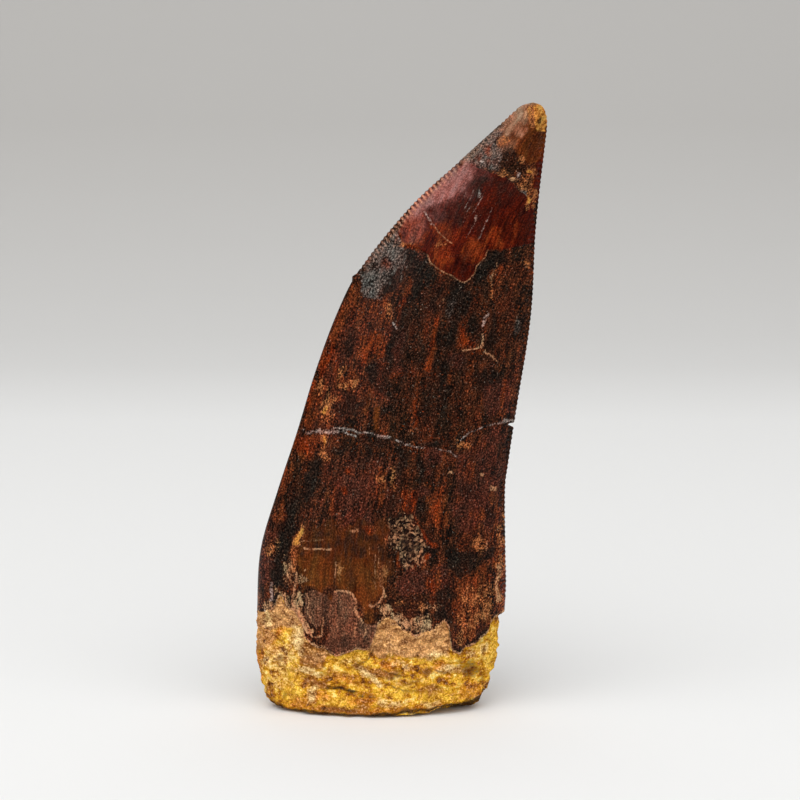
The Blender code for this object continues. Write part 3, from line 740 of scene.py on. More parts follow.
ROOT_FRONT_MARKS: Marks = {
    Tint.YELLOW: ovals(
        (290, 637, 8, 9), (492, 648, 8, 20, 8), (340, 704, 24, 6), (440, 696, 24, 6), (400, 692, 18, 6),
        (476, 650, 10, 6, 0, 0.8),
    ) + areas(
        ([(281, 664), (303, 664), (303, 690), (292, 704), (280, 698)], 1),
        ([(330, 655), (369, 651), (370, 664), (340, 668)],),
        ([(417, 652), (446, 650), (447, 662), (420, 662)],),
    ),
    Tint.ORANGE: ovals(
        (269, 636, 6, 11), (260, 661, 4, 16), (318, 698, 12, 5), (363, 700, 14, 4), (280, 632, 5, 4),
        (258, 640, 5, 9, 0, 0.8), (272, 648, 8, 6, 0, 0.6), (440, 668, 10, 4, 0, 0.8),
        (300, 702, 8, 4, 0, 0.8), (345, 680, 16, 4, 10, 0.7),
    ) + areas(
        ([(376, 660), (392, 660), (396, 671), (382, 670)],),
        ([(455, 684), (482, 682), (484, 697), (458, 698)], 0.55),
    ) + strokes(
        # This band along the bottom rim is partly the sand's own colour and partly painted light that lifts
        # the shade where the rounding turns down.
        ([(292, 705), (330, 711), (372, 713), (410, 711), (440, 706)], 3, 0.7),
    ),
    Tint.BROWN: ovals(
        (390, 674, 11, 3), (345, 711, 24, 4), (426, 671, 4, 5), (363, 707, 6, 4, 0, 0.9),
        (479, 698, 5, 2.5), (270, 690, 5, 7, -30, 0.7), (430, 690, 12, 5, 0, 0.8),
        (408, 682, 14, 4, 0, 0.6), (412, 655, 34, 5, 0, 0.5), (458, 672, 10, 5, 20, 0.6),
        (340, 674, 20, 4, 12, 0.6), (300, 672, 8, 5, 0, 0.6),
    ) + areas(
        ([(300, 643), (324, 644), (326, 656), (322, 667), (306, 668), (301, 656)],),
        ([(304, 676), (325, 680), (330, 690), (318, 690), (306, 684)], 0.9),
    ) + strokes(
        ([(356, 667), (374, 673), (392, 677)], 3),
    ),
    Tint.PEACH: ovals(
        (300, 636, 6, 14, 0, 0.8), (320, 655, 22, 5, -14, 0.7), (312, 640, 8, 6, 0, 0.6),
    ) + areas(
        ([(366, 650), (374, 624), (388, 610), (400, 614), (432, 616), (452, 618), (458, 640), (447, 655),
          (412, 657), (386, 656), (374, 656)], 1, 5),
        ([(250, 604), (266, 606), (280, 590), (294, 600), (304, 622), (295, 627), (276, 628),
          (250, 626)], 1, 4),
        ([(249, 624), (268, 624), (278, 630), (272, 646), (258, 656), (249, 650)], 0.62, 6),
    ),
    Tint.WHITE: ovals(
        (449, 670, 8, 4), (268, 618, 4, 5), (470, 655, 6, 5, 0, 0.7), (314, 694, 4, 7),
        (400, 705, 10, 4, 0, 0.8), (432, 704, 10, 3, 0, 0.7), (402, 666, 10, 4, 8, 0.6),
        (350, 662, 10, 3, 0, 0.6), (482, 650, 6, 6, 0, 0.6), (385, 705, 6, 5, 0, 0.7),
        (436, 655, 8, 4, 0, 0.8),
    ) + areas(
        ([(298, 665), (314, 668), (324, 675), (316, 677), (302, 673)], 1, 3),
        ([(289, 622), (303, 628), (304, 655), (294, 652), (290, 640)], 0.8),
        ([(262, 652), (280, 640), (296, 650), (300, 676), (286, 690), (266, 684)], 0.42, 14),
    ) + strokes(
        ([(360, 670), (370, 676), (381, 685)], 2.6),
    ),
    Tint.DARK_AND_SHADOW: ovals(
        (281, 658, 6, 4, 0, 0.5), (470, 669, 12, 8, 10, 0.5), (481, 676, 5, 4, 0, 0.5),
        (283, 696, 5, 6, 0, 0.45), (426, 671, 3, 3, 0, 0.5), (487, 640, 3, 6, 0, 0.4),
        (257, 650, 3, 8, 0, 0.4), (412, 712, 12, 3, 0, 0.6), (460, 664, 3, 3, 0, 0.5),
    ) + strokes(
        ([(328, 688), (339, 689), (351, 691), (366, 695), (376, 697)], 1.7, 0.9),
        ([(386, 684), (404, 690), (424, 692)], 1.2, 0.55), ([(300, 660), (318, 668)], 1, 0.5),
        ([(430, 668), (452, 676)], 1.2, 0.5),
        # Painted shadow: a dark line under the base's bottom rim and a dark wedge under its lifted right end.
        ([(268, 701), (286, 709), (304, 711), (343, 716), (400, 714), (437, 708), (472, 702),
          (487, 690)], 1.5, 1),
        ([(430, 713.5), (444, 710), (458, 707), (472, 703.5), (485, 697)], 3, 1),
        ([(374, 649), (369, 658), (357, 667)], 1.1, 0.6), ([(384, 672), (402, 676)], 1, 0.6),
    ),
}

ROOT_BACK_MARKS: Marks = {
    Tint.YELLOW: ovals((300, 660, 20, 16), (400, 690, 30, 10), (470, 660, 14, 16)),
    Tint.ORANGE: ovals((340, 680, 20, 8), (440, 672, 16, 8), (270, 670, 8, 16)),
    Tint.BROWN: ovals((380, 668, 24, 5), (320, 700, 20, 6), (450, 700, 20, 5)),
    Tint.PEACH: ovals((350, 644, 26, 10), (440, 640, 24, 8)),
    Tint.WHITE: ovals((300, 690, 10, 5), (410, 655, 14, 5)),
    Tint.DARK_AND_SHADOW: ovals((360, 690, 14, 3), (480, 690, 8, 5)),
}

# Lines round the tooth, drawn on a face in millimetres across and up.

FRONT_LIP: list[Point] = [
    (-18.1, 12.2), (-17.4, 12.4), (-16.7, 13.0), (-16.0, 13.4), (-15.0, 15.1), (-14.2, 14.1),
    (-13.3, 13.5), (-12.2, 11.8), (-11.9, 10.4), (-11.3, 9.7), (-10.4, 9.2), (-9.2, 8.8),
    (-8.3, 8.2), (-7.4, 8.0), (-6.4, 8.6), (-5.3, 9.0), (-3.8, 9.1), (-3.1, 10.7), (-2.7, 12.2),
    (-1.6, 12.9), (-0.5, 12.3), (0.5, 11.3), (1.8, 10.7), (3.1, 10.9), (4.1, 11.3), (5.1, 12.1),
    (6.2, 11.4), (6.5, 8.8), (7.0, 8.2), (7.7, 8.2), (8.2, 8.7), (9.2, 9.0), (10.3, 9.8),
    (11.1, 10.4), (11.5, 11.4), (12.2, 12.1), (13.3, 12.4),
]
BACK_LIP: list[Point] = [
    (-18.1, 12.2), (-15.0, 10.4), (-11.5, 11.8), (-8.0, 9.2), (-4.0, 8.4), (0.0, 10.2),
    (3.5, 9.0), (7.0, 11.2), (10.0, 9.8), (13.3, 12.4),
]
FRONT_BREAK: list[Point] = [
    (-13.0, 35.1), (-11.4, 35.6), (-9.7, 36.2), (-8.0, 36.5), (-5.5, 36.2), (-3.4, 35.7),
    (-1.8, 35.5), (0.7, 35.0), (2.5, 34.3), (4.4, 33.9), (6.2, 33.8), (7.7, 34.8), (8.7, 35.8),
    (10.6, 36.5), (12.1, 36.8), (13.1, 36.9), (14.6, 36.5),
]
BACK_BREAK: list[Point] = [
    (-13.0, 35.1), (-9.0, 35.4), (-6.0, 34.8), (-2.0, 35.6), (1.2, 34.6), (5.0, 33.4),
    (9.0, 34.6), (14.6, 36.5),
]


@dataclass(frozen=True)
class Edge:
    """One edge of the outline: a smooth curve through its points, read by arc length.

    Each span between two points is the Catmull-Rom cubic of the four round it.
    """

    points: list[Point]
    teeth_from: float
    teeth_depth: float
    teeth_to: float = 0.975
    samples_per_span: int = 24
    tangent_step: float = 0.01

    def path(self) -> Array:
        """Evenly many points of the curve on each span, from the root to the tip.

        Returns:
            Millimetres across and up, one row a point.
        """
        p = np.array([self.points[0], *self.points, self.points[-1]])
        t = np.linspace(0.0, 1.0, self.samples_per_span, endpoint=False)[None, :, None]
        a, b, c, d = (p[i : len(p) - 3 + i, None, :] for i in range(4))
        cubic = 0.5 * (2 * b + (c - a) * t + (2 * a - 5 * b + 4 * c - d) * t**2
                       + (3 * b - a - 3 * c + d) * t**3)
        return np.vstack([cubic.reshape(-1, 2), p[-1]])

    def length(self) -> float:
        """Length of the curve in millimetres."""
        return float(np.linalg.norm(np.diff(self.path(), axis=0), axis=1).sum())

    def at(self, share: Array) -> tuple[Array, Array]:
        """Place on the curve at shares of its length.

        Args:
            share: Shares from 0 at the root to 1 at the tip.

        Returns:
            Millimetres across and up.
        """
        path = self.path()
        run = np.concatenate([[0.0], np.linalg.norm(np.diff(path, axis=0), axis=1).cumsum()])
        wanted = np.clip(share, 0.0, 1.0) * run[-1]
        return np.interp(wanted, run, path[:, 0]), np.interp(wanted, run, path[:, 1])

    def direction(self, share: Array) -> tuple[Array, Array]:
        """Unit direction across and up in which the curve runs towards the tip."""
        step = np.subtract(self.at(share + self.tangent_step), self.at(share - self.tangent_step))
        return tuple(step / np.hypot(*step))


@dataclass(frozen=True)
class Swelling:
    """A rise of the front, or a hollow where its height is negative, in millimetres."""

    x: float
    z: float
    half_x: float
    half_z: float
    height: float

    def rise(self, x: Array, z: Array) -> Array:
        """Its height times a bell across and a bell up."""
        return self.height * bell((x - self.x) / self.half_x) * bell((z - self.z) / self.half_z)


@dataclass(frozen=True)
class Spike:
    """A small pointed form of an edge, at a height, that stands out or cuts in by its size."""

    z: float
    size: float
    half_z: float

    def reach(self, z: Array) -> Array:
        """Its size, falling evenly to 0 at half its height up and down."""
        return self.size * np.maximum(0.0, 1.0 - np.abs(z - self.z) / self.half_z)


@dataclass(frozen=True)
class ToothForm:
    """The tooth's form: a flattened loft between two edges, with keels and denticles."""

    leading: Edge = Edge([
        (-17.5, 3.4), (-18.2, 7.0), (-18.1, 12.2), (-17.6, 20.2), (-15.4, 27.8),
        (-12.9, 35.3), (-10.6, 42.8), (-7.8, 50.3), (-4.8, 56.0), (1.3, 63.5),
        (7.4, 69.1), (12.4, 73.6), (13.9, 75.0), (15.1, 75.9), (16.5, 76.3),
    ], teeth_from=0.645, teeth_depth=0.12)
    trailing: Edge = Edge([
        (12.0, 3.4), (13.1, 7.0), (13.3, 12.3), (13.5, 15.8), (13.4, 20.2), (13.3, 27.8),
        (13.7, 31.5), (14.8, 39.0), (16.0, 46.5), (16.6, 52.1), (16.9, 59.6), (17.4, 65.2),
        (18.0, 70.4), (18.3, 73.3), (18.2, 74.8), (17.6, 75.9), (16.5, 76.3),
    ], teeth_from=0.15, teeth_depth=0.08)
    front_swell: list[Point] = field(default_factory=lambda: [
        (0.0, 6.3), (0.12, 6.6), (0.3, 6.0), (0.5, 4.9), (0.7, 3.8), (0.85, 2.9),
        (0.93, 2.2), (0.97, 1.6), (0.985, 1.2), (0.995, 0.7), (1.0, 0.0),
    ])
    back_share: float = 0.9
    tip_lean: float = 2.6
    lean_power: float = 2.2
    crown_shares: Point = (0.05, 0.4)
    root_power: float = 0.55
    leading_power: float = 0.66
    trailing_power: float = 0.78
    keel_pinch: float = 0.45
    keel_width: float = 0.7
    denticle_pitch: float = 0.63
    denticle_reach: float = 0.5
    notch_thinning: float = 0.3
    worn_heights: Point = (69.2, 73.6)
    worn_share: float = 0.3
    last_row: float = 0.99
    chip: Spike = Spike(36.2, 0.9, 0.28)
    spur: Spike = Spike(54.7, 0.3, 0.5)
    front_forms: tuple[Swelling, ...] = (
        Swelling(1.3, 22.5, 2.2, 3.6, -0.55),
        Swelling(3.2, 23.8, 0.8, 2.6, 0.25),
        Swelling(13.9, 67.3, 1.6, 2.6, -0.35),
        Swelling(-6.8, 14.4, 1.6, 2.6, 0.25),
        Swelling(-0.5, 44.0, 3.0, 16.0, 0.22),
        Swelling(6.5, 36.0, 2.6, 18.0, -0.2),
        Swelling(-9.0, 26.0, 2.4, 12.0, -0.18),
        Swelling(-3.4, 5.7, 2.6, 0.9, 0.3),
        Swelling(-4.6, 4.2, 3.6, 0.6, -0.34),
        Swelling(-12.4, 8.8, 3.0, 1.6, 0.24),
        Swelling(8.6, 6.0, 1.5, 1.1, -0.3),
    )
    relief_fade: float = 1.7

    def flat(self, share: Array, across: Array) -> tuple[Array, Array]:
        """Place on the straight line between the two edges, across and up."""
        (x0, z0), (x1, z1) = self.leading.at(share), self.trailing.at(share)
        return x0 + (x1 - x0) * (across + 1.0) / 2, z0 + (z1 - z0) * (across + 1.0) / 2

    def width(self, share: Array) -> Array:
        """Distance between the two edges."""
        (x0, z0), (x1, z1) = self.leading.at(share), self.trailing.at(share)
        return np.hypot(x1 - x0, z1 - z0)

    def inward(self, share: Array, across: Array) -> Array:
        """Distance in from the nearer edge."""
        return self.width(share) / 2 * (1.0 - np.abs(across))

    def section(self, share: Array, across: Array) -> Array:
        """Share of the swell left at a place across the tooth.

        A power of the parabola 1 minus across squared gives the lens, with a blunter power
        at the root, and a factor that dips near the edges draws out the keels.

        Args:
            share: Shares up the tooth.
            across: Places across it, -1 to 1.

        Returns:
            The share of the swell, from 0 to 1.
        """
        crown = smoothstep(*self.crown_shares, share)
        edge_power = np.where(across < 0, self.leading_power, self.trailing_power)
        power = self.root_power + (edge_power - self.root_power) * crown
        pinch = 1.0 - crown * self.keel_pinch * np.exp(-self.inward(share, across) / self.keel_width)
        return np.maximum(0.0, 1.0 - across**2) ** power * pinch

    def notch(self, share: Array, edge: Edge) -> Array:
        """How deep in a notch an edge's denticles are: 0 at a crest and 1 between two.

        It is a cosine wave along the edge, cut off at the row's ends and weaker where the
        leading edge is worn.

        Args:
            share: Shares up the tooth.
            edge: The edge whose row is read.

        Returns:
            The depth at each share, from 0 to 1.
        """
        span = self.last_row - edge.teeth_from
        count = round(span * edge.length() / self.denticle_pitch)
        wave = 0.5 - 0.5 * np.cos(2.0 * math.pi * (share - edge.teeth_from) / span * count)
        low, high = self.worn_heights
        height = edge.at(share)[1]
        worn = (edge is self.leading) & (height > low) & (height < high)
        cut = (share > edge.teeth_from) & (share < edge.teeth_to)
        return wave * cut * np.where(worn, self.worn_share, 1.0)

    def straight_out(self, share: Array, across: Array, edge: Edge) -> Array:
        """Share at which an edge is met square from a place near it, by its offset along the edge."""
        offset = np.subtract(self.flat(share, across), edge.at(share))
        return share + np.multiply(offset, edge.direction(share)).sum(axis=0) / edge.length()

    def edge_shift(self, share: Array, across: Array) -> tuple[Array, Array, Array]:
        """How the denticles, the chip and the spur move places near the edges.

        The move is along the edge's outward direction and fades inwards with the bell of
        the distance from it.

        Args:
            share: Shares up the tooth.
            across: Places across it, -1 to 1.

        Returns:
            The move across and up in millimetres, and the notches' depth from 0 to 1.
        """
        fade = bell(self.inward(share, across) / self.denticle_reach)
        shift_x, shift_z, notches = (np.zeros(fade.shape) for _ in range(3))
        for edge, sign, spike in ((self.leading, -1.0, self.spur), (self.trailing, 1.0, self.chip)):
            near = (across * sign > 0.0) * fade
            notch = self.notch(self.straight_out(share, across, edge), edge)
            out = -edge.teeth_depth * notch - sign * spike.reach(edge.at(share)[1])
            along_x, along_z = edge.direction(share)
            shift_x += near * out * sign * along_z
            shift_z -= near * out * sign * along_x
            notches = np.maximum(notches, notch * near)
        return shift_x, shift_z, notches

    def surface(self, share: Array, across: Array, side: Array, step: float = 0.0) -> Array:
        """Places on the tooth's skin.

        A place lies on the straight line between the two edges at its share, swelled out
        by the section and leaned back by a power of the share.

        Args:
            share: Shares up the tooth, 0 at the root's wall and 1 at the tip.
            across: Places across it, -1 at the leading edge and 1 at the trailing one.
            side: -1 on the front and 1 on the back.
            step: How far the trailing edge is cut back, in millimetres.

        Returns:
            The places, the last axis holding x, y and z.
        """
        x, z = self.flat(share, across)
        x = x - step * np.maximum(across, 0.0) ** 4
        shape = self.section(share, across)
        swell = along(self.front_swell, share) * np.where(side > 0, self.back_share, 1.0)
        forms = np.where(side < 0, sum(form.rise(x, z) for form in self.front_forms), 0.0)
        shift_x, shift_z, notches = self.edge_shift(share, across)
        depth = swell * shape + forms * np.minimum(1.0, self.relief_fade * shape)
        depth = depth * (1.0 - self.notch_thinning * notches)
        y = self.tip_lean * np.clip(share, 0.0, 1.0) ** self.lean_power + side * depth
        return np.stack([x + shift_x, y, z + shift_z], axis=-1)


FORM = ToothForm()


@dataclass(frozen=True)
class LineRound:
    """A line that runs round the tooth, one course on each face, with a small jag."""

    front: list[Point]
    back: list[Point]
    jag: float
    seed: Seed
    jag_pitch: float = 1.6
    halvings: int = 30

    def share_on(self, line: list[Point], across: Array) -> Array:
        """Share up the tooth at which each place across meets a line drawn on a face.

        The share is halved in on, because height grows with share.

        Args:
            line: Points of the line, across and up.
            across: Places across the tooth, -1 to 1.

        Returns:
            The share at each place.
        """
        low, high = np.zeros(across.shape), np.ones(across.shape)
        for _ in range(self.halvings):
            middle = (low + high) / 2
            x, z = FORM.flat(middle, across)
            above = z > along(line, x)
            low, high = np.where(above, low, middle), np.where(above, middle, high)
        return (low + high) / 2

    def shares(self, across: Array, side: Array) -> Array:
        """Share up the tooth of the line at each place round it.

        Noise jags the line up and down, less so within a millimetre of the edges.

        Args:
            across: Places across the tooth, -1 to 1.
            side: -1 on the front and 1 on the back.

        Returns:
            The share at each place.
        """
        share = np.where(side < 0, self.share_on(self.front, across), self.share_on(self.back, across))
        jag = fractal_noise(FORM.surface(share, across, side) * self.jag_pitch, 4, self.seed)
        return share + self.jag / MM_PER_SHARE * jag * np.minimum(1.0, FORM.inward(share, across))


def spread(count: int, even: float = 0.62) -> Array:
    """Places from -1 to 1, part even steps and part drawn towards the ends by a cosine."""
    t = np.linspace(0.0, 1.0, count + 1)
    return even * (2.0 * t - 1.0) - (1.0 - even) * np.cos(math.pi * t)


def loop_round(front: int, back: int) -> tuple[Array, Array]:
    """Places across and their sides, in steps along the front and then back along the back."""
    across = np.concatenate([spread(front), -spread(back)[1:-1]])
    return across, np.concatenate([np.full(front + 1, -1.0), np.full(back - 1, 1.0)])


def normals_of(grid: Array) -> Array:
    """Outward unit normals of a closed grid, its step round the section crossed with its step up."""
    normal = np.cross(np.roll(grid, -1, axis=1) - np.roll(grid, 1, axis=1), np.gradient(grid, axis=0))
    return normal / np.maximum(np.linalg.norm(normal, axis=-1, keepdims=True), SMALLEST)


@dataclass
class Skin:
    """A closed skin: rings of places from low to high, shut by a fan at each end."""

    name: str
    rings: Array
    masks: Masks
    flow: Array
    low_pole: Array
    high_pole: Array

    def triangles(self) -> Array:
        """Corner numbers of its triangles, all facing outwards.

        Each cell between two rings is cut into two, and each end ring joins its pole.

        Returns:
            One row of three corners a triangle.
        """
        rows, columns = self.rings.shape[:2]
        at = np.arange(rows * columns).reshape(rows, columns)
        a, d = at[:-1], at[1:]
        b, c = np.roll(a, -1, axis=1), np.roll(d, -1, axis=1)
        low, high = rows * columns, rows * columns + 1
        first, last = at[0], at[-1]
        return np.vstack([
            np.stack([a, b, c], -1).reshape(-1, 3),
            np.stack([a, c, d], -1).reshape(-1, 3),
            np.stack([np.roll(first, -1), first, np.full(columns, low)], -1),
            np.stack([last, np.roll(last, -1), np.full(columns, high)], -1),
        ])

    def mesh(self) -> bpy.types.Mesh:
        """Makes the mesh, in metres and held in the solids' box, with its attributes.

        Returns:
            The new mesh.
        """
        places = np.vstack([self.rings.reshape(-1, 3), self.low_pole, self.high_pole])
        places = (places - OUTLINE_CENTRE) * MM
        places = np.clip(places, np.array(CAD_BOX[0]), np.array(CAD_BOX[1]))
        corners = self.triangles()
        mesh = bpy.data.meshes.new(self.name)
        mesh.vertices.add(len(places))
        mesh.vertices.foreach_set("co", places.astype(np.float32).ravel())
        mesh.loops.add(corners.size)
        mesh.loops.foreach_set("vertex_index", corners.astype(np.int32).ravel())
        mesh.polygons.add(len(corners))
        mesh.polygons.foreach_set("loop_start", np.arange(0, corners.size, 3, dtype=np.int32))
        mesh.update(calc_edges=True)
        for tint, mask in self.masks.items():
            layer = mesh.attributes.new(tint.value, "FLOAT", "POINT")
            values = np.concatenate([mask.ravel(), mask[0, :1], mask[-1, :1]])
            layer.data.foreach_set("value", values.astype(np.float32))
        layer = mesh.attributes.new("flow", "FLOAT_VECTOR", "POINT")
        flow = np.vstack([self.flow.reshape(-1, 3), self.flow[0, :1], self.flow[-1, :1]])
        layer.data.foreach_set("vector", flow.astype(np.float32).ravel())
        mesh.shade_smooth()
        return mesh

    def build(self, material: bpy.types.Material, slot: str) -> None:
        """Makes the object and ties it to the frame.

        Args:
            material: The skin's finish.
            slot: The record's material slot for it; not used.
        """
        mesh = self.mesh()
        mesh.materials.append(material)
        piece = bpy.data.objects.new(self.name, mesh)
        bpy.context.scene.collection.objects.link(piece)
        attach(piece, "root")
        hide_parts("tooth")
        LOG.info("%s: %d triangles", self.name, len(mesh.polygons))


def masks_on(grid: Array, front: Marks, back: Marks, push_pitch: float = 0.8, blend: float = 0.25) -> Masks:
    """Strength of each tint at every place of a grid, by the marks of the face it looks to.

    Args:
        grid: Places, the last axis x, y and z.
        front: Marks of the front, for every tint wanted.
        back: Marks of the back.
        push_pitch: Cells, for each millimetre, of the noise that pushes the marks about.
        blend: Part of the normal to the back over which the front's marks give way.

    Returns:
        One array of masks for each tint.
    """
    pixels = VIEW.pixels(grid)
    seeds = (Seed.PUSH_ACROSS, Seed.PUSH_DOWN)
    push = np.stack([fractal_noise(grid * push_pitch, 4, seed) for seed in seeds], axis=-1)
    facing = smoothstep(-blend, blend, normals_of(grid)[..., 1])
    masks = {}
    for tint, marks in front.items():
        behind = painted(back.get(tint, []), pixels, push)
        masks[tint] = painted(marks, pixels, push) * (1.0 - facing) + behind * facing
    return masks


def flow_of(share: Array, across: Array, side: Array, face_gap: float = 31.0) -> Array:
    """Millimetres round and along the tooth's growth, with a gap between the faces' patterns."""
    round_it = across * FORM.width(share) / 2
    return np.stack([round_it, share * FORM.leading.length(), side * face_gap], axis=-1)


@dataclass(frozen=True)
class EnamelRelief:
    """Fine relief on the enamel, its heights in millimetres and its pitches in cells for each."""

    streak_pitch: Triple = (2.4, 0.28, 1.0)
    streak_height: float = 0.028
    pore_pitch: float = 3.4
    pore_depth: float = 0.1
    pore_level: float = 0.14
    rough_pitch: float = 4.5
    polish: float = 0.7
    upper_step: float = 0.07
    lobe_step: float = 0.06
    vein_height: float = 0.03
    groove_depth: float = 0.05
    hollow_depth: float = 0.12
    hollow_roughness: float = 0.2
    crust_height: float = 0.02
    crust_roughness: float = 0.08
    teal_roughness: float = 0.03

    def height(self, grid: Array, masks: Masks, flow: Array) -> Array:
        """Height of the relief.

        It adds streaks drawn out along the growth, shallow pores, the steps at the edges
        of the upper enamel and the lower lobes, ridges along tan lines, grooves along pale
        ones, and the rough bottom of the grit hollow and crusts.

        Args:
            grid: Places, the last axis x, y and z.
            masks: Strength of each tint there.
            flow: The same places in the frame of the growth.

        Returns:
            The height at each place.
        """
        streaks = fractal_noise(flow * self.streak_pitch, 4, Seed.STREAKS)
        pores = np.maximum(0.0, fractal_noise(grid * self.pore_pitch, 3, Seed.PORES) - self.pore_level)
        rough = fractal_noise(grid * self.rough_pitch, 3, Seed.ROUGH)
        shine = (masks[Tint.MAHOGANY], masks[Tint.PAINTED_EDGE_HIGHLIGHT], self.polish * masks[Tint.AMBER])
        polished = np.maximum.reduce(shine)
        height = (self.streak_height * streaks - self.pore_depth * pores) * (1.0 - self.polish * polished)
        height += self.upper_step * (smoothstep(0.4, 0.6, masks[Tint.MAHOGANY]) - 1.0)
        height += self.lobe_step * smoothstep(0.35, 0.65, masks[Tint.LILAC])
        height += self.vein_height * masks[Tint.TAN]
        height -= self.groove_depth * masks[Tint.PALE] * (1.0 - polished)
        height += masks[Tint.GRIT] * (self.hollow_roughness * rough - self.hollow_depth)
        crust = np.maximum.reduce([masks[Tint.CRUST], masks[Tint.GOLD], masks[Tint.FILM]])
        height += crust * (self.crust_roughness * rough + self.crust_height)
        return height + masks[Tint.TEAL] * self.teal_roughness * rough


@dataclass(frozen=True)
class DenticlePaintedLight:
    """Painted shade in the denticles' notches and painted highlight on their crests, strongest half way up
    the curve.

    Heights and reaches are in millimetres, and the rest are strengths.
    """

    middle_height: float = 63.8
    middle_reach: float = 4.6
    notch_reach: float = 0.62
    notch_strengths: Point = (0.12, 0.8)
    trailing_notch: float = 0.1
    crest_inward: float = 0.35
    crest_reach: float = 0.6
    crest_strengths: Point = (0.08, 0.92)

    def masks(self, share: Array, across: Array, grid: Array) -> Masks:
        """Strength of the painted shade and painted highlight, each a power of the notches' wave times a bell
        inwards.

        Args:
            share: Shares up the tooth.
            across: Places across it, -1 to 1.
            grid: The same places, the last axis x, y and z.

        Returns:
            One array of masks for each of the two tints.
        """
        inward = FORM.inward(share, across)
        notch = FORM.notch(FORM.straight_out(share, across, FORM.leading), FORM.leading)
        crest = (1.0 - notch) ** 2 * (share > FORM.leading.teeth_from)
        middle = bell((grid[..., 2] - self.middle_height) / self.middle_reach)
        dark, pale = (base + more * middle for base, more in (self.notch_strengths, self.crest_strengths))
        return {
            Tint.NOTCH_SHADING: notch**1.5 * bell(inward / self.notch_reach)
            * np.where(across < 0, dark, self.trailing_notch),
            Tint.CREST_HIGHLIGHT: crest * bell((inward - self.crest_inward) / self.crest_reach) * (across < 0) * pale,
        }


@dataclass
class CrownPart:
    """A length of the enamelled crown between two lines round the tooth.

    A missing upper line is the tip. At a line the skin turns inwards, which leaves a fine
    crack at the old break and a ledge over the root. A film of sand may lie along the
    lower line.
    """

    name: str
    rows: int
    front: int
    back: int
    low_line: LineRound
    high_line: LineRound | None
    low_turn: float
    high_turn: float = 0.5
    film_width: float = 0.0
    film_strength: float = 0.8
    tip_share: float = 0.9985
    edge_fade: float = 3.0
    relief: EnamelRelief = EnamelRelief()
    denticles: DenticlePaintedLight = DenticlePaintedLight()

    def skin(self) -> Skin:
        """Works out the part's rings, tints and flow.

        Returns:
            The closed skin.
        """
        across, side = loop_round(self.front, self.back)
        low = self.low_line.shares(across, side)
        high = self.high_line.shares(across, side) if self.high_line else np.full(low.shape, self.tip_share)
        share = low + (high - low) * np.linspace(0.0, 1.0, self.rows)[:, None]
        across, side = np.broadcast_arrays(across, side, share)[:2]
        grid = FORM.surface(share, across, side)
        flow = flow_of(share, across, side)
        masks = masks_on(grid, FRONT_MARKS, BACK_MARKS) | self.denticles.masks(share, across, grid)
        if self.film_width:
            film = self.film_strength * bell((share - low) * MM_PER_SHARE / self.film_width)
            masks[Tint.FILM] = np.maximum(masks[Tint.FILM], film)
        normal = normals_of(grid)
        edge_fade = np.minimum(1.0, self.edge_fade * FORM.section(share, across))
        grid = grid + normal * (self.relief.height(grid, masks, flow) * edge_fade)[..., None]
        return self.closed(grid, normal * [1.0, 1.0, 0.0], masks, flow)

    def closed(self, grid: Array, outward: Array, masks: Masks, flow: Array) -> Skin:
        """Adds the rings that turn inwards at the ends, and the poles.

        Args:
            grid: The part's rings, the last axis x, y and z.
            outward: Level directions out of the tooth at the same places.
            masks: Strength of each tint there, repeated on the added rings.
            flow: The same places in the frame of the growth, repeated likewise.

        Returns:
            The closed skin.
        """
        low_rings = self.turned_in(grid[0], outward[0], self.low_turn)[::-1]
        rings, extra = [low_rings, grid], [len(low_rings), 0]
        top = FORM.surface(np.array(1.0), np.array(0.0), np.array(-1.0))
        if self.high_line:
            rings.append(self.turned_in(grid[-1], outward[-1], self.high_turn))
            extra[1] = len(rings[-1])
            top = rings[-1][-1].mean(axis=0)
        masks = {tint: np.pad(mask, (extra, (0, 0)), "edge") for tint, mask in masks.items()}
        flow = np.pad(flow, (extra, (0, 0), (0, 0)), "edge")
        whole = np.concatenate(rings)
        return Skin(self.name, whole, masks, flow, whole[0].mean(axis=0), top)

    @staticmethod
    def turned_in(ring: Array, outward: Array, depth: float) -> Array:
        """Three more rings that lead from a ring into the tooth, each further in."""
        steps = np.array([0.12, 0.5, 1.0])[:, None, None] * depth
        return ring[None] - outward[None] * steps


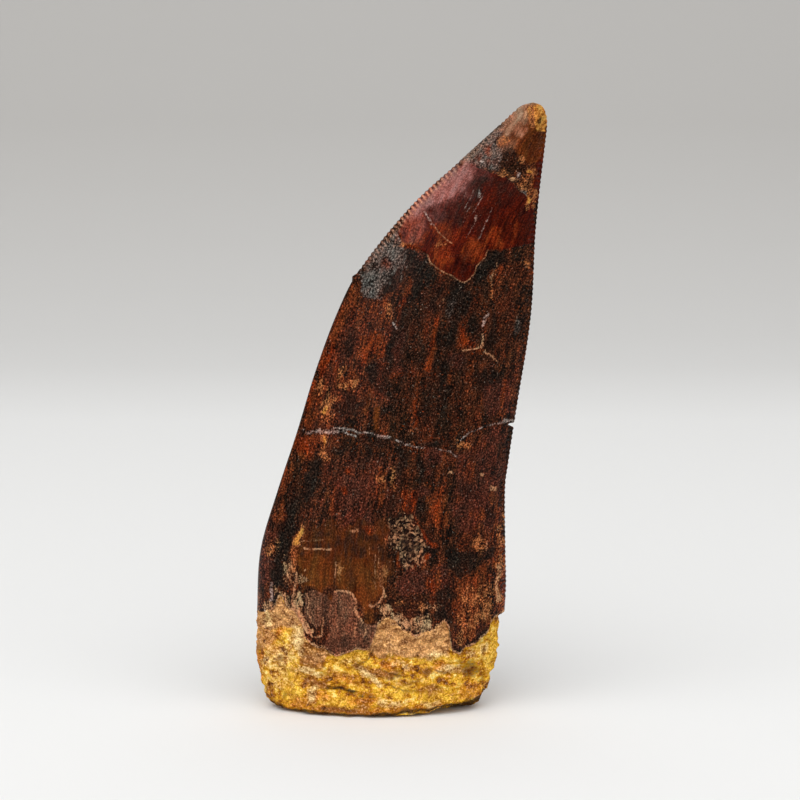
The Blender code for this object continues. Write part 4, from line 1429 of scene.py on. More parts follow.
@dataclass
class RootPart:
    """The root's end, caked in sandstone, from its worn foot up to under the enamel's lip."""

    name: str
    lip: LineRound
    front: int = 330
    back: int = 240
    wall_rows: int = 104
    round_rows: int = 26
    foot_rows: int = 26
    first_ring: float = 0.04
    foot_share: float = -0.1
    face_step: float = 0.5
    back_ledge: float = 0.35
    trailing_step: float = 0.7
    ledge_width: float = 1.6
    tuck: float = 0.012
    tuck_depth: float = 1.1
    tuck_heights: Point = (0.15, -0.9)
    grains_from: Point = (-0.9, 0.1)
    foot_centre_x: float = -4.4
    foot_half_width: float = 9.4
    foot_half_depth: float = 5.0
    leading_rounding: float = 0.95
    trailing_rounding: float = 0.72
    face_rounding: float = 0.55
    lump_height: float = 0.24
    clod_pitch: Triple = (0.8, 0.8, 1.5)
    clod_height: float = 0.34
    grain_pitch: float = 2.4
    grain_height: float = 0.26
    gap_level: float = 0.2
    gap_depth: float = 0.4
    clear_height: float = 0.5
    crack_depth: float = 0.3
    ragged_pitch: float = 1.3
    rim_gap: float = 0.34
    rim_rows: Point = (0.1, 0.4)
    chipped_front: Point = (-0.5, -2.5)
    chipped_end: Point = (9.0, 10.6)
    underside: list[Point] = field(default_factory=lambda: [
        (2.6, 0.0), (3.4, 0.3), (4.6, 0.95), (6.0, 1.2), (8.0, 1.5), (9.4, 1.7),
        (10.4, 2.3), (11.6, 2.9),
    ])
    ledge: list[Point] = field(default_factory=lambda: [
        (-18.0, 0.1), (-14.6, 0.0), (-12.4, 0.25), (-10.0, 0.4), (-5.0, 0.4), (-3.0, 0.15),
        (-1.0, 0.0), (5.6, 0.02), (6.6, 0.5), (9.0, 0.6), (12.5, 0.55),
    ])
    crack: Stroke = Stroke([(328, 688), (339, 690), (351, 692), (366, 696), (376, 697)], 1.6)

    def lumps(self, x: Array, z: Array, side: Array) -> Array:
        """Uneven relief of the caked root: two products of crossing sine waves.

        Args:
            x: Millimetres across.
            z: Millimetres up.
            side: -1 on the front and 1 on the back, where the waves start elsewhere.

        Returns:
            The relief in millimetres.
        """
        first = np.sin(0.95 * x + 1.3 * z + side) * np.sin(-0.4 * x + 0.7 * z + 2 * side)
        second = np.sin(2.1 * x + side) * np.sin(1.9 * z + 2 * side)
        return self.lump_height * (first + 0.6 * second)

    def grains(self, grid: Array) -> Array:
        """Relief of the sandstone: clods, then grains with sunken gaps between them.

        Args:
            grid: Places, the last axis x, y and z.

        Returns:
            The relief in millimetres.
        """
        clods = fractal_noise(grid * self.clod_pitch, 3, Seed.CLODS)
        grains = fractal_noise(grid * self.grain_pitch, 4, Seed.GRAINS)
        gaps = np.maximum(0.0, grains - self.gap_level)
        return self.clod_height * clods + self.grain_height * grains - self.gap_depth * gaps

    def wall(self, share: Array, lip: Array, across: Array, side: Array) -> Array:
        """Rings of the wall: the tooth's surface set back under the lip and lumped below it.

        Args:
            share: Shares up the tooth.
            lip: Share of the enamel's lip at each place round it.
            across: Places across it, -1 to 1.
            side: -1 on the front and 1 on the back.

        Returns:
            The rings, the last axis x, y and z.
        """
        wall = FORM.surface(share, across, side, self.trailing_step)
        below = (lip - share) * MM_PER_SHARE
        ledge = np.where(side < 0, along(self.ledge, wall[..., 0]), self.back_ledge)
        settled = smoothstep(0.0, self.ledge_width, below)
        tucked = smoothstep(*self.tuck_heights, below) * self.tuck_depth
        drop = ledge + (self.face_step - ledge) * settled + tucked
        fade = np.minimum(1.0, FORM.relief_fade * FORM.section(share, across))
        lumps = self.lumps(wall[..., 0], wall[..., 2], side) * settled
        wall[..., 1] += side * (lumps - drop) * fade
        return wall

    def rounding(self, wall: Array, across: Array, side: Array) -> Array:
        """Rings from the flat foot's rim out and up to the wall.

        Each is the wall's ring drawn towards the foot's oval by 1 minus a power of the
        cosine of a quarter turn, and down by 1 minus the same power of its sine.

        Args:
            wall: The wall's lowest ring.
            across: Places across the tooth, -1 to 1.
            side: -1 on the front and 1 on the back.

        Returns:
            The rings, the last axis x, y and z.
        """
        angle = np.linspace(1.0, 0.0, self.round_rows)[:, None] * math.pi / 2
        ends = np.where(across < 0, self.leading_rounding, self.trailing_rounding)
        power = self.face_rounding + (ends - self.face_rounding) * across**2
        inward = 1.0 - np.maximum(np.cos(angle), 0.0) ** power
        foot_x = self.foot_centre_x + self.foot_half_width * across
        foot_y = side * self.foot_half_depth * np.sqrt(np.maximum(0.0, 1.0 - across**2))
        x = wall[:, 0] + (foot_x - wall[:, 0]) * inward
        y = wall[:, 1] + (foot_y - wall[:, 1]) * inward
        z = wall[:, 2] * (1.0 - np.sin(angle) ** power)
        return np.stack(np.broadcast_arrays(x, y, z), axis=-1)

    def weathered(self, grid: Array, side: Array, seen: Array) -> Array:
        """Puts the grains and the crack on the root and wears its rim off the floor.

        Args:
            grid: The root's rings, the last axis x, y and z.
            side: -1 on the front and 1 on the back.
            seen: How much of the grains each place has, none under the enamel.

        Returns:
            The rings with their relief.
        """
        above_floor = smoothstep(0.0, self.clear_height, grid[..., 2])
        groove = self.crack.mask(*np.moveaxis(VIEW.pixels(grid), -1, 0)) * (side < 0)
        relief = self.grains(grid) * seen * above_floor - self.crack_depth * groove
        grid = grid + normals_of(grid) * relief[..., None]
        ragged = 1.0 + 0.5 * fractal_noise(grid * self.ragged_pitch, 3, Seed.RAGGED)
        outward = np.arange(len(grid))[:, None] / self.foot_rows
        front = smoothstep(*self.chipped_front, grid[..., 1])
        edge = np.maximum(front, smoothstep(*self.chipped_end, grid[..., 0]))
        chipped = along(self.underside, grid[..., 0]) * edge
        worn = np.maximum(self.rim_gap * smoothstep(*self.rim_rows, outward), chipped)
        grid[..., 2] = np.maximum(grid[..., 2], worn * ragged)
        return grid

    def skin(self) -> Skin:
        """Works out the root's rings, tints and flow.

        Returns:
            The closed skin.
        """
        across, side = loop_round(self.front, self.back)
        lip = self.lip.shares(across, side)
        share = (lip + self.tuck) * np.linspace(0.0, 1.0, self.wall_rows)[:, None]
        across, side = np.broadcast_arrays(across, side, share)[:2]
        wall = self.wall(share, lip, across, side)
        rounding = self.rounding(wall[0], across[0], side[0])
        middle = np.array([self.foot_centre_x, 0.0, 0.0])
        reach = np.linspace(self.first_ring, 1.0, self.foot_rows, endpoint=False)[:, None, None]
        foot = middle + (rounding[0] - middle) * reach
        grid = np.concatenate([foot, rounding[:-1], wall])
        low_rows = len(grid) - len(wall)
        low_shares = np.linspace(self.foot_share, 0.0, low_rows)[:, None]
        rows = np.concatenate([low_shares + 0.0 * share[:1], share])
        showing = smoothstep(*self.grains_from, (lip - share) * MM_PER_SHARE)
        seen = np.concatenate([np.ones((low_rows, lip.size)), showing])
        across, side = np.broadcast_arrays(across[:1], side[:1], rows)[:2]
        grid = self.weathered(grid, side, seen)
        masks = masks_on(grid, ROOT_FRONT_MARKS, ROOT_BACK_MARKS)
        return Skin(self.name, grid, masks, flow_of(rows, across, side), middle, grid[-1].mean(axis=0))


class Wire:
    """A value inside a shader tree, which can be added to, taken away and multiplied."""

    def __init__(self, bench: "Bench", socket: Socket) -> None:
        """Holds an output socket and the bench that it is on."""
        self.bench, self.socket = bench, socket

    def __add__(self, other: "Wire | float") -> "Wire":
        """This plus another."""
        return self.bench.math("ADD", self, other)

    def __sub__(self, other: "Wire | float") -> "Wire":
        """This less another."""
        return self.bench.math("SUBTRACT", self, other)

    def __rsub__(self, other: float) -> "Wire":
        """A number less this."""
        return self.bench.math("SUBTRACT", other, self)

    def __mul__(self, other: "Wire | float") -> "Wire":
        """This times another."""
        return self.bench.math("MULTIPLY", self, other)

    __radd__, __rmul__ = __add__, __mul__

    def clipped(self) -> "Wire":
        """This, held between 0 and 1."""
        return self.bench.math("ADD", self, 0.0, clamp=True)


Value = Wire | float | Triple


@dataclass(frozen=True)
class Noise:
    """A noise: cells for each millimetre along the three axes, octaves, and their roughness."""

    pitch: Triple
    octaves: float
    roughness: float


class Bench:
    """A shader tree, with short ways to add the nodes that the finishes use."""

    noise_gain = 5.2

    def __init__(self, name: str) -> None:
        """Starts a material, which reads places in millimetres.

        Args:
            name: The material's name.
        """
        self.material = bpy.data.materials.new(name)
        self.material.use_nodes = True
        self.tree = self.material.node_tree
        self.shader = self.tree.nodes["Principled BSDF"]
        self.mm = self.vector_math("SCALE", self.node("TexCoord", {}, "Object"), 1.0 / MM)

    def set(self, name: str, value: Value) -> None:
        """Feeds one of the shader's own sockets."""
        self.feed(self.shader.inputs[name], value)

    def feed(self, socket: Socket, value: Value) -> None:
        """Links a socket to a wire, or sets its number or colour.

        Args:
            socket: The socket that is fed.
            value: A wire, a number, or three numbers, to which a colour adds its alpha.
        """
        if isinstance(value, Wire):
            self.tree.links.new(value.socket, socket)
        elif isinstance(value, tuple) and len(socket.default_value) == 4:
            socket.default_value = (*value, 1.0)
        else:
            socket.default_value = value

    def node(self, kind: str, inputs: dict[int | str, Value], output: int | str = 0,
             **settings: str | bool) -> Wire:
        """Adds a node.

        Args:
            kind: Its type, less the words that all types begin with.
            inputs: What feeds its sockets.
            output: The socket that is read.
            settings: Its own settings.

        Returns:
            The output.
        """
        node = self.tree.nodes.new(f"ShaderNode{kind}")
        for name, setting in settings.items():
            setattr(node, name, setting)
        for name, value in inputs.items():
            self.feed(node.inputs[name], value)
        return Wire(self, node.outputs[output])

    def attribute(self, name: str, output: str = "Fac") -> Wire:
        """Reads an attribute of the mesh, as one number or, from Vector, as three."""
        return self.node("Attribute", {}, output, attribute_name=name)

    def tint(self, tint: Tint) -> Wire:
        """Reads the strength of a tint."""
        return self.attribute(tint.value)

    def math(self, operation: str, a: Wire | float, b: Wire | float, clamp: bool = False) -> Wire:
        """Works out one operation on two numbers, and holds it between 0 and 1 if asked."""
        return self.node("Math", {0: a, 1: b}, operation=operation, use_clamp=clamp)

    def vector_math(self, operation: str, a: Wire, b: Wire | float | Triple) -> Wire:
        """Scales a vector by a number, or works out one operation on two vectors."""
        return self.node("VectorMath", {0: a, "Scale" if operation == "SCALE" else 1: b}, operation=operation)

    def noise(self, vector: Wire, noise: Noise) -> Wire:
        """Noise that fills about -1 to 1: the node's value less a half, times the gain."""
        inputs = {"Vector": self.vector_math("MULTIPLY", vector, noise.pitch), "Scale": 1.0,
                  "Detail": noise.octaves, "Roughness": noise.roughness}
        return (self.node("TexNoise", inputs, "Fac") - 0.5) * self.noise_gain

    def cells(self, vector: Wire, pitch: float) -> tuple[Wire, Wire]:
        """Random number of each cell of a Voronoi pattern, and the distance to its middle."""
        colour = self.node("TexVoronoi", {"Vector": vector, "Scale": pitch}, "Color")
        return self.node("SeparateColor", {0: colour}), Wire(self, colour.socket.node.outputs["Distance"])

    def brightness(self, colour: Wire) -> Wire:
        """How bright a colour is."""
        return self.node("RGBToBW", {0: colour})

    def mix(self, share: Wire, a: Wire | Rgb, b: Wire | Rgb) -> Wire:
        """Blends two colours, by the share of the second."""
        return self.node("Mix", {"Factor": share, 6: a, 7: b}, 2, data_type="RGBA")

    def bump(self, height: Wire, distance: float) -> Wire:
        """Normal bent by a height, with a distance in millimetres for each 1 of it."""
        return self.node("Bump", {"Height": height, "Distance": distance * MM})

    def ramp(self, value: Wire, stops: tuple[tuple[float, Rgb], ...]) -> Wire:
        """Colour for a number from 0 to 1.

        Args:
            value: The number.
            stops: Places from 0 to 1 and their colours, in order.

        Returns:
            The colour, blended evenly between the stops.
        """
        colour = self.node("ValToRGB", {0: value})
        elements = colour.socket.node.color_ramp.elements
        while len(elements) < len(stops):
            elements.new(0.5)
        for element, (position, tone) in zip(elements, stops):
            element.position = position
            element.color = (*tone, 1.0)
        return colour


class Pattern(Enum):
    """Fine patterns that break up the edges and the colours of the stains."""

    STREAK = "streak"
    FIBRE = "fibre"
    MOTTLE = "mottle"
    GRAIN = "grain"
    SPECK = "speck"


STREAK, FIBRE, MOTTLE, GRAIN, SPECK = Pattern
Patterns = dict[Pattern, Wire]


@dataclass(frozen=True)
class Stain:
    """How one tint colours the fossil.

    Its mask times 1 plus gain times the edge pattern, less a half, is sharpened by the
    contrast and clipped. Dark and light are its two display colours, mixed by the inside
    pattern.
    """

    tint: Tint
    dark: Display
    light: Display
    edge: Pattern
    inside: Pattern
    gain: float
    contrast: float
    opacity: float
    roughness: float

    def lay(self, bench: Bench, colour: Wire, roughness: Wire | float, edges: Patterns,
            shades: Patterns) -> tuple[Wire, Wire]:
        """Lays the stain over a colour and a roughness.

        Args:
            bench: The shader tree.
            colour: The colour below.
            roughness: The roughness below.
            edges: Patterns that break up the mask, from about -1 to 1.
            shades: Patterns that mix the two colours, from 0 to 1.

        Returns:
            The new colour and roughness.
        """
        mask = bench.tint(self.tint)
        cut = ((mask * (1.0 + self.gain * edges[self.edge]) - 0.5) * self.contrast + 0.5).clipped()
        amount = cut * self.opacity
        own = bench.mix(shades[self.inside], linear(*self.dark), linear(*self.light))
        smooth = roughness * (1.0 - amount) + amount * self.roughness
        return bench.mix(amount, colour, own), smooth


@dataclass(frozen=True)
class Grainwork:
    """Noises of the enamel, read along its growth except for the mottle."""

    streak: Wire
    fibre: Wire
    mottle: Wire
    band: Wire
    coarse: Wire
    grain: Wire

    def edges(self) -> Patterns:
        """Patterns that break up the stains' masks."""
        return {
            STREAK: 0.9 * self.streak + 0.3 * self.coarse + 0.2 * self.grain,
            MOTTLE: 0.5 * self.mottle + 0.4 * self.streak + 0.4 * self.coarse + 0.2 * self.grain,
            GRAIN: 0.7 * self.coarse + 0.5 * self.grain,
        }

    def shades(self, number: Wire) -> Patterns:
        """Patterns from 0 to 1 that mix each stain's two colours; specks take a random number."""
        return {
            STREAK: (0.5 + 0.4 * self.streak + 0.14 * self.coarse + 0.12 * self.grain).clipped(),
            FIBRE: (0.45 + 0.36 * self.fibre + 0.25 * self.streak + 0.15 * self.mottle).clipped(),
            GRAIN: (0.45 + 0.3 * self.grain + 0.35 * self.coarse).clipped(),
            SPECK: (1.3 * number - 0.55 + 0.3 * self.coarse).clipped(),
        }

    def tone(self) -> Wire:
        """Place on the ramp of the enamel's own tones."""
        fine = 0.14 * self.coarse + 0.14 * self.band + 0.1 * self.grain
        return 0.46 + 0.34 * self.streak + 0.14 * self.mottle + fine


@dataclass(frozen=True)
class Enamel:
    """Polished, mineralised enamel: dark brown streaked with rust, under its stains and painted light."""

    tones: tuple[tuple[float, Rgb], ...] = (
        (0.0, linear(14, 10, 7)), (0.3, linear(38, 21, 13)), (0.5, linear(64, 33, 19)),
        (0.7, linear(90, 46, 26)), (0.88, linear(118, 61, 34)), (1.0, linear(158, 100, 65)),
    )
    glint: Rgb = linear(158, 138, 122)
    fleck: Rgb = linear(124, 50, 16)
    # Colours of the painted shade in the denticles' notches and the painted highlight on their crests.
    notch: Rgb = linear(40, 14, 8)
    crest: Rgb = linear(216, 150, 118)
    cool: Rgb = (0.79, 1.05, 1.12)
    warm: Rgb = (1.2, 0.94, 0.88)
    roughness: float = 0.28
    specular: float = 0.04
    relief: float = 0.03
    sway_reach: Triple = (0.2, 0.0, 0.0)
    sway_noise: Noise = Noise((0.22, 0.22, 0.22), 2.0, 0.5)
    streak_noise: Noise = Noise((1.9, 0.3, 1.0), 4.0, 0.66)
    fibre_noise: Noise = Noise((3.6, 0.3, 1.0), 4.0, 0.75)
    mottle_noise: Noise = Noise((0.55, 0.55, 0.5), 5.0, 0.68)
    band_noise: Noise = Noise((0.42, 0.1, 1.0), 3.0, 0.6)
    coarse_noise: Noise = Noise((1.8, 0.8, 1.0), 3.0, 0.6)
    grain_noise: Noise = Noise((5.4, 3.4, 1.0), 1.0, 0.8)
    hue_noise: Noise = Noise((1.2, 0.36, 1.0), 3.0, 0.65)
    fleck_noise: Noise = Noise((3.1, 3.1, 3.1), 1.0, 0.5)
    glint_noise: Noise = Noise((4.2, 4.2, 4.2), 1.0, 0.5)
    speck_pitch: float = 3.0
    fleck_opacity: float = 0.7
    glint_opacity: float = 0.4
    calm_brightness: float = 2.8
    polish_lift: float = 0.26
    speckle_level: float = -0.44
    stains: tuple[Stain, ...] = (
        Stain(Tint.MAROON, (36, 18, 13), (94, 49, 37), MOTTLE, STREAK, 1.1, 1.5, 0.8, 0.3),
        Stain(Tint.RUST, (42, 17, 7), (130, 61, 29), STREAK, STREAK, 1.2, 1.6, 0.85, 0.32),
        Stain(Tint.BLACK, (4, 3, 2), (38, 31, 25), STREAK, GRAIN, 1.0, 1.6, 0.9, 0.28),
        Stain(Tint.AMBER, (56, 22, 6), (130, 67, 26), STREAK, FIBRE, 0.2, 1.6, 0.92, 0.24),
        Stain(Tint.TEAL, (30, 27, 24), (124, 110, 101), MOTTLE, GRAIN, 1.2, 1.5, 0.88, 0.36),
        Stain(Tint.MAHOGANY, (34, 2, 0), (98, 28, 10), MOTTLE, FIBRE, 0.16, 4.0, 0.97, 0.2),
        Stain(Tint.SCARLET, (60, 10, 2), (150, 62, 24), STREAK, FIBRE, 0.9, 1.2, 0.9, 0.22),
        # Painted highlights: sheen of light near the leading edge and on the tip.
        Stain(Tint.PAINTED_EDGE_HIGHLIGHT, (124, 70, 62), (164, 114, 108), STREAK, STREAK, 0.2, 1.0, 0.97, 0.26),
        Stain(Tint.PAINTED_TIP_HIGHLIGHT, (134, 84, 56), (190, 142, 114), STREAK, FIBRE, 0.1, 1.0, 0.97, 0.26),
        Stain(Tint.LILAC, (62, 34, 23), (136, 88, 64), MOTTLE, STREAK, 0.2, 3.4, 0.92, 0.3),
        Stain(Tint.GRIT, (24, 14, 9), (200, 148, 108), GRAIN, SPECK, 0.8, 2.0, 0.9, 0.5),
        Stain(Tint.CRUST, (76, 32, 10), (196, 122, 72), GRAIN, GRAIN, 0.9, 2.0, 0.85, 0.5),
        Stain(Tint.GOLD, (140, 76, 16), (236, 172, 84), GRAIN, GRAIN, 0.3, 2.4, 0.95, 0.55),
        Stain(Tint.FILM, (120, 76, 46), (222, 168, 122), GRAIN, GRAIN, 0.85, 2.2, 0.92, 0.65),
        Stain(Tint.DARK_AND_SHADOW, (12, 7, 5), (50, 32, 25), STREAK, GRAIN, 0.9, 1.4, 0.85, 0.3),
        Stain(Tint.TAN, (122, 72, 46), (212, 154, 112), GRAIN, GRAIN, 0.4, 2.0, 0.88, 0.4),
        Stain(Tint.PALE, (100, 74, 64), (206, 184, 172), GRAIN, GRAIN, 0.95, 1.6, 0.75, 0.4),
    )

    def material(self) -> bpy.types.Material:
        """Builds the finish, which reads the tints' attributes of the crown's skins.

        Returns:
            The material.
        """
        bench = Bench("fossil_enamel")
        flow = bench.attribute("flow", "Vector")
        sway = bench.noise(bench.mm, self.sway_noise)
        flow = bench.vector_math("ADD", flow, bench.vector_math("MULTIPLY", sway, self.sway_reach))
        work = self.grainwork(bench, flow)
        colour, roughness = self.stained(bench, work)
        polish = (bench.tint(Tint.MAHOGANY) + bench.tint(Tint.AMBER)).clipped()
        colour = self.accented(bench, colour, work, polish)
        hue = (0.5 + 0.45 * bench.noise(flow, self.hue_noise) + 0.4 * work.band).clipped()
        colour = bench.vector_math("MULTIPLY", colour, bench.mix(hue, self.cool, self.warm))
        speckle = self.speckle(bench, colour, work, polish)
        bench.set("Base Color", bench.vector_math("SCALE", colour, speckle))
        bench.set("Roughness", roughness + 0.05 * work.grain)
        bench.set("Specular IOR Level", self.specular)
        height = 0.35 * work.grain + 0.25 * work.coarse + 0.2 * work.fibre
        bench.set("Normal", bench.bump(height, self.relief))
        return bench.material

    def grainwork(self, bench: Bench, flow: Wire) -> Grainwork:
        """Makes the noises that the enamel's colours share, most of them along its growth."""
        return Grainwork(
            streak=bench.noise(flow, self.streak_noise),
            fibre=bench.noise(flow, self.fibre_noise),
            mottle=bench.noise(bench.mm, self.mottle_noise),
            band=bench.noise(flow, self.band_noise),
            coarse=bench.noise(flow, self.coarse_noise),
            grain=bench.noise(flow, self.grain_noise),
        )

    def stained(self, bench: Bench, work: Grainwork) -> tuple[Wire, Wire | float]:
        """Lays rusty flecks and then the stains, in order, over the enamel's own tones.

        Args:
            bench: The shader tree.
            work: The enamel's noises.

        Returns:
            The colour and the roughness.
        """
        flecks = ((bench.noise(bench.mm, self.fleck_noise) - 0.8) * 3.0).clipped()
        colour = bench.mix(flecks * self.fleck_opacity, bench.ramp(work.tone(), self.tones), self.fleck)
        roughness: Wire | float = self.roughness
        edges = work.edges()
        shades = work.shades(bench.cells(bench.mm, self.speck_pitch)[0])
        for stain in self.stains:
            colour, roughness = stain.lay(bench, colour, roughness, edges, shades)
        return colour, roughness

    def accented(self, bench: Bench, colour: Wire, work: Grainwork, polish: Wire) -> Wire:
        """Adds painted light: crest highlights and notch shade of the denticles, and glints, fewer where
        polished.

        Args:
            bench: The shader tree.
            colour: The colour below.
            work: The enamel's noises.
            polish: How polished the enamel is.

        Returns:
            The new colour.
        """
        crest = (bench.tint(Tint.CREST_HIGHLIGHT) * (1.0 + 0.5 * work.grain)).clipped()
        colour = bench.mix(crest, colour, self.crest)
        colour = bench.mix(bench.tint(Tint.NOTCH_SHADING), colour, self.notch)
        glints = ((bench.noise(bench.mm, self.glint_noise) - 1.05) * 4.0).clipped()
        return bench.mix(glints * (1.0 - 0.8 * polish) * self.glint_opacity, colour, self.glint)

    def speckle(self, bench: Bench, colour: Wire, work: Grainwork, polish: Wire) -> Wire:
        """Fine contrast: 2 to the power of the grain, which is calmer where it is bright.

        Args:
            bench: The shader tree.
            colour: The colour that is speckled.
            work: The enamel's noises.
            polish: How polished the enamel is, which calms the grain and lifts the level.

        Returns:
            The factor for the colour.
        """
        calm = (1.0 - self.calm_brightness * bench.brightness(colour)).clipped()
        fine = (1.0 - 0.5 * polish) * (1.9 * work.grain + 0.5 * work.fibre)
        power = fine + 0.1 * work.coarse + self.polish_lift * polish + self.speckle_level
        return bench.math("POWER", 2.0, calm * power)


@dataclass(frozen=True)
class Sandstone:
    """Yellow sandstone cemented to the root: loose-looking grains of many tones."""

    tones: tuple[tuple[float, Rgb], ...] = (
        (0.0, linear(86, 42, 6)), (0.25, linear(156, 90, 12)), (0.5, linear(208, 144, 22)),
        (0.75, linear(238, 184, 50)), (1.0, linear(254, 226, 136)),
    )
    pit: Rgb = linear(62, 38, 16)
    pale: Rgb = linear(248, 222, 176)
    roughness: float = 0.8
    specular: float = 0.08
    relief: float = 0.09
    grain_noise: Noise = Noise((4.0, 4.0, 4.2), 1.0, 0.8)
    coarse_noise: Noise = Noise((1.2, 1.2, 1.6), 3.0, 0.6)
    mottle_noise: Noise = Noise((0.5, 0.5, 0.8), 4.0, 0.65)
    cell_pitch: float = 3.4
    pale_opacity: float = 0.24
    pit_opacity: float = 0.6
    stains: tuple[Stain, ...] = (
        Stain(Tint.YELLOW, (190, 124, 12), (248, 200, 66), MOTTLE, GRAIN, 0.6, 1.4, 0.85, 0.8),
        Stain(Tint.ORANGE, (140, 64, 6), (226, 138, 38), MOTTLE, GRAIN, 0.7, 1.5, 0.85, 0.8),
        Stain(Tint.BROWN, (84, 40, 12), (178, 108, 52), MOTTLE, GRAIN, 0.7, 1.6, 0.85, 0.8),
        Stain(Tint.PEACH, (122, 68, 30), (236, 176, 112), MOTTLE, GRAIN, 0.5, 1.8, 0.95, 0.8),
        Stain(Tint.WHITE, (176, 124, 56), (252, 222, 158), GRAIN, GRAIN, 0.8, 1.6, 0.85, 0.8),
        # Dark stains of the sandstone, and painted shadow under the base's rim.
        Stain(Tint.DARK_AND_SHADOW, (12, 6, 3), (66, 42, 22), GRAIN, GRAIN, 0.7, 1.8, 0.95, 0.8),
    )

    def material(self) -> bpy.types.Material:
        """Builds the finish, which reads the tints' attributes of the root's skin.

        Returns:
            The material.
        """
        bench = Bench("sandstone_matrix")
        grain = bench.noise(bench.mm, self.grain_noise)
        coarse = bench.noise(bench.mm, self.coarse_noise)
        mottle = bench.noise(bench.mm, self.mottle_noise)
        number, distance = bench.cells(bench.mm, self.cell_pitch)
        edges = {
            MOTTLE: 0.6 * mottle + 0.4 * coarse + 0.25 * grain,
            GRAIN: 0.6 * coarse + 0.5 * grain,
        }
        shades = {GRAIN: (0.52 + 0.1 * grain + 0.45 * coarse).clipped()}
        colour = bench.ramp(0.52 + 0.44 * mottle + 0.32 * coarse, self.tones)
        roughness: Wire | float = self.roughness
        for stain in self.stains:
            colour, roughness = stain.lay(bench, colour, roughness, edges, shades)
        # Pale grains are kept off the dark marks and the painted shadow.
        off_dark_and_shadow = (1.0 - bench.tint(Tint.DARK_AND_SHADOW)) * self.pale_opacity
        light = (0.7 * grain + 0.4 * (number - 0.5)).clipped() * off_dark_and_shadow
        colour = bench.mix(light, colour, self.pale)
        pits = ((0.0 - coarse - 0.4 * grain - 0.85) * 1.6).clipped() * self.pit_opacity
        colour = bench.mix(pits, colour, self.pit)
        speckle = bench.math("POWER", 2.0, 0.5 * grain + 0.15 * coarse - 0.01)
        bench.set("Base Color", bench.vector_math("SCALE", colour, speckle))
        bench.set("Roughness", roughness)
        bench.set("Specular IOR Level", self.specular)
        bench.set("Normal", bench.bump(0.3 * grain + 0.3 * coarse - 0.5 * distance, self.relief))
        return bench.material


@dataclass(frozen=True)
class Lamp:
    """A square soft light: where it stands and its side in metres, and its power in watts."""

    name: str
    place: Triple
    side: float
    power: float


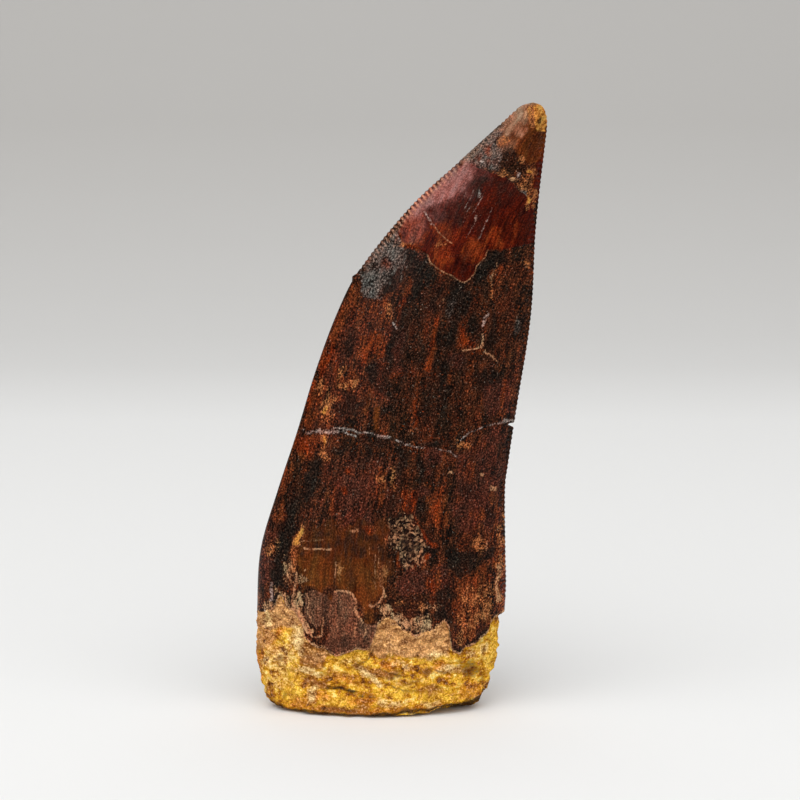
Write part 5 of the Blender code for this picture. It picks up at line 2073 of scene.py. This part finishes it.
@dataclass
class Studio:
    """A pale floor that sweeps up behind the tooth, soft lights and the camera.

    Sizes are in metres, except for those of the painted shade on the paper, which are in millimetres.
    """

    floor_near: Rgb = linear(229, 229, 228)
    # Painted shade: the paper greys away from the tooth as the light falls off.
    floor_far_shade: Rgb = linear(192, 190, 187)
    shade_from: float = 245.0
    shade_over: float = 350.0
    paper_roughness: float = 0.95
    paper_specular: float = 0.1
    floor_front: float = -0.12
    floor_reach: float = 0.35
    half_width: float = 1.5
    sweep_radius: float = 0.5
    sweep_steps: int = 16
    wall_height: float = 1.2
    lit_height: float = 0.04
    dim: float = 0.03
    lamps: tuple[Lamp, ...] = (
        Lamp("key_left", (-0.45, -0.6, 0.75), 1.2, 9.6),
        Lamp("fill_right", (0.45, -0.6, 0.7), 1.2, 6.8),
        Lamp("top", (0.0, 0.05, 0.85), 1.4, 4.6),
    )

    def floor(self) -> None:
        """Makes the sweep: a floor that turns up into a wall through a quarter circle."""
        turn = np.linspace(0.0, math.pi / 2, self.sweep_steps)
        back = self.floor_reach + self.sweep_radius
        y = np.concatenate([[self.floor_front], self.floor_reach + self.sweep_radius * np.sin(turn), [back]])
        z = np.concatenate([[0.0], self.sweep_radius * (1.0 - np.cos(turn)), [self.wall_height]])
        xx, yy = np.meshgrid(np.linspace(-self.half_width, self.half_width, 3), y, indexing="ij")
        places = np.stack([xx, yy, np.broadcast_to(z, xx.shape)], -1).reshape(-1, 3)
        at = np.arange(len(places)).reshape(xx.shape)
        quads = np.stack([at[:-1, :-1], at[1:, :-1], at[1:, 1:], at[:-1, 1:]], -1).reshape(-1, 4)
        mesh = bpy.data.meshes.new("studio_floor")
        mesh.from_pydata(places.tolist(), [], quads.tolist())
        mesh.shade_smooth()
        mesh.materials.append(self.paper())
        piece = bpy.data.objects.new("studio_floor", mesh)
        bpy.context.scene.collection.objects.link(piece)

    def paper(self) -> bpy.types.Material:
        """Matt paper, a little greyer away from the tooth: painted shade for the light falling off.

        Returns:
            The material.
        """
        bench = Bench("studio_paper")
        back = bench.node("SeparateXYZ", {0: bench.mm}, 1)
        away = ((back - self.shade_from) * (1.0 / self.shade_over)).clipped()
        bench.set("Base Color", bench.mix(away, self.floor_near, self.floor_far_shade))
        bench.set("Roughness", self.paper_roughness)
        bench.set("Specular IOR Level", self.paper_specular)
        return bench.material

    def light(self, lamp: Lamp) -> None:
        """Adds a lamp that faces the tooth.

        Args:
            lamp: The lamp.
        """
        data = bpy.data.lights.new(lamp.name, "AREA")
        data.shape = "SQUARE"
        data.size = lamp.side
        data.energy = lamp.power
        light = bpy.data.objects.new(lamp.name, data)
        bpy.context.scene.collection.objects.link(light)
        light.location = lamp.place
        aim = Vector((0.0, 0.0, self.lit_height)) - light.location
        light.rotation_euler = aim.to_track_quat("-Z", "Y").to_euler()

    def camera(self) -> None:
        """Sets the camera at the photograph's view, square to the broad face."""
        data = bpy.data.cameras.new("camera")
        data.lens = VIEW.focal
        data.sensor_width = VIEW.sensor
        camera = bpy.data.objects.new("camera", data)
        bpy.context.scene.collection.objects.link(camera)
        camera.location = VIEW.camera_place() * MM
        camera.rotation_euler = (math.pi / 2 - math.radians(VIEW.pitch), 0.0, 0.0)
        bpy.context.scene.camera = camera

    def surroundings(self) -> None:
        """Sets the dim white light from all round, and plain display colours."""
        world = bpy.data.worlds.new("studio")
        world.use_nodes = True
        background = world.node_tree.nodes["Background"]
        background.inputs["Color"].default_value = (1.0, 1.0, 1.0, 1.0)
        background.inputs["Strength"].default_value = self.dim
        bpy.context.scene.world = world
        bpy.context.scene.view_settings.view_transform = "Standard"

    def build(self) -> None:
        """Makes the floor, the lights, the surroundings and the camera."""
        self.floor()
        for lamp in self.lamps:
            self.light(lamp)
        self.surroundings()
        self.camera()
        LOG.info("studio: floor, %d lamps and camera", len(self.lamps))


def main() -> None:
    """Builds the three skins in order, then the studio."""
    logging.basicConfig(level=logging.INFO, format="%(name)s %(message)s")
    lip = LineRound(FRONT_LIP, BACK_LIP, jag=0.4, seed=Seed.LIP)
    old_break = LineRound(FRONT_BREAK, BACK_BREAK, jag=0.35, seed=Seed.BREAK)
    enamel = Enamel().material()
    below = CrownPart("crown_below_break", rows=200, front=300, back=180, low_line=lip, high_line=old_break,
                      low_turn=1.6, film_width=0.35)
    above = CrownPart("crown_above_break", rows=390, front=160, back=90, low_line=old_break, high_line=None,
                      low_turn=0.5)
    for part in (below, above):
        part.skin().build(enamel, "fossil_enamel")
    RootPart("root_sandstone", lip).skin().build(Sandstone().material(), "sandstone_matrix")
    Studio().build()


if __name__ == "__main__":
    main()
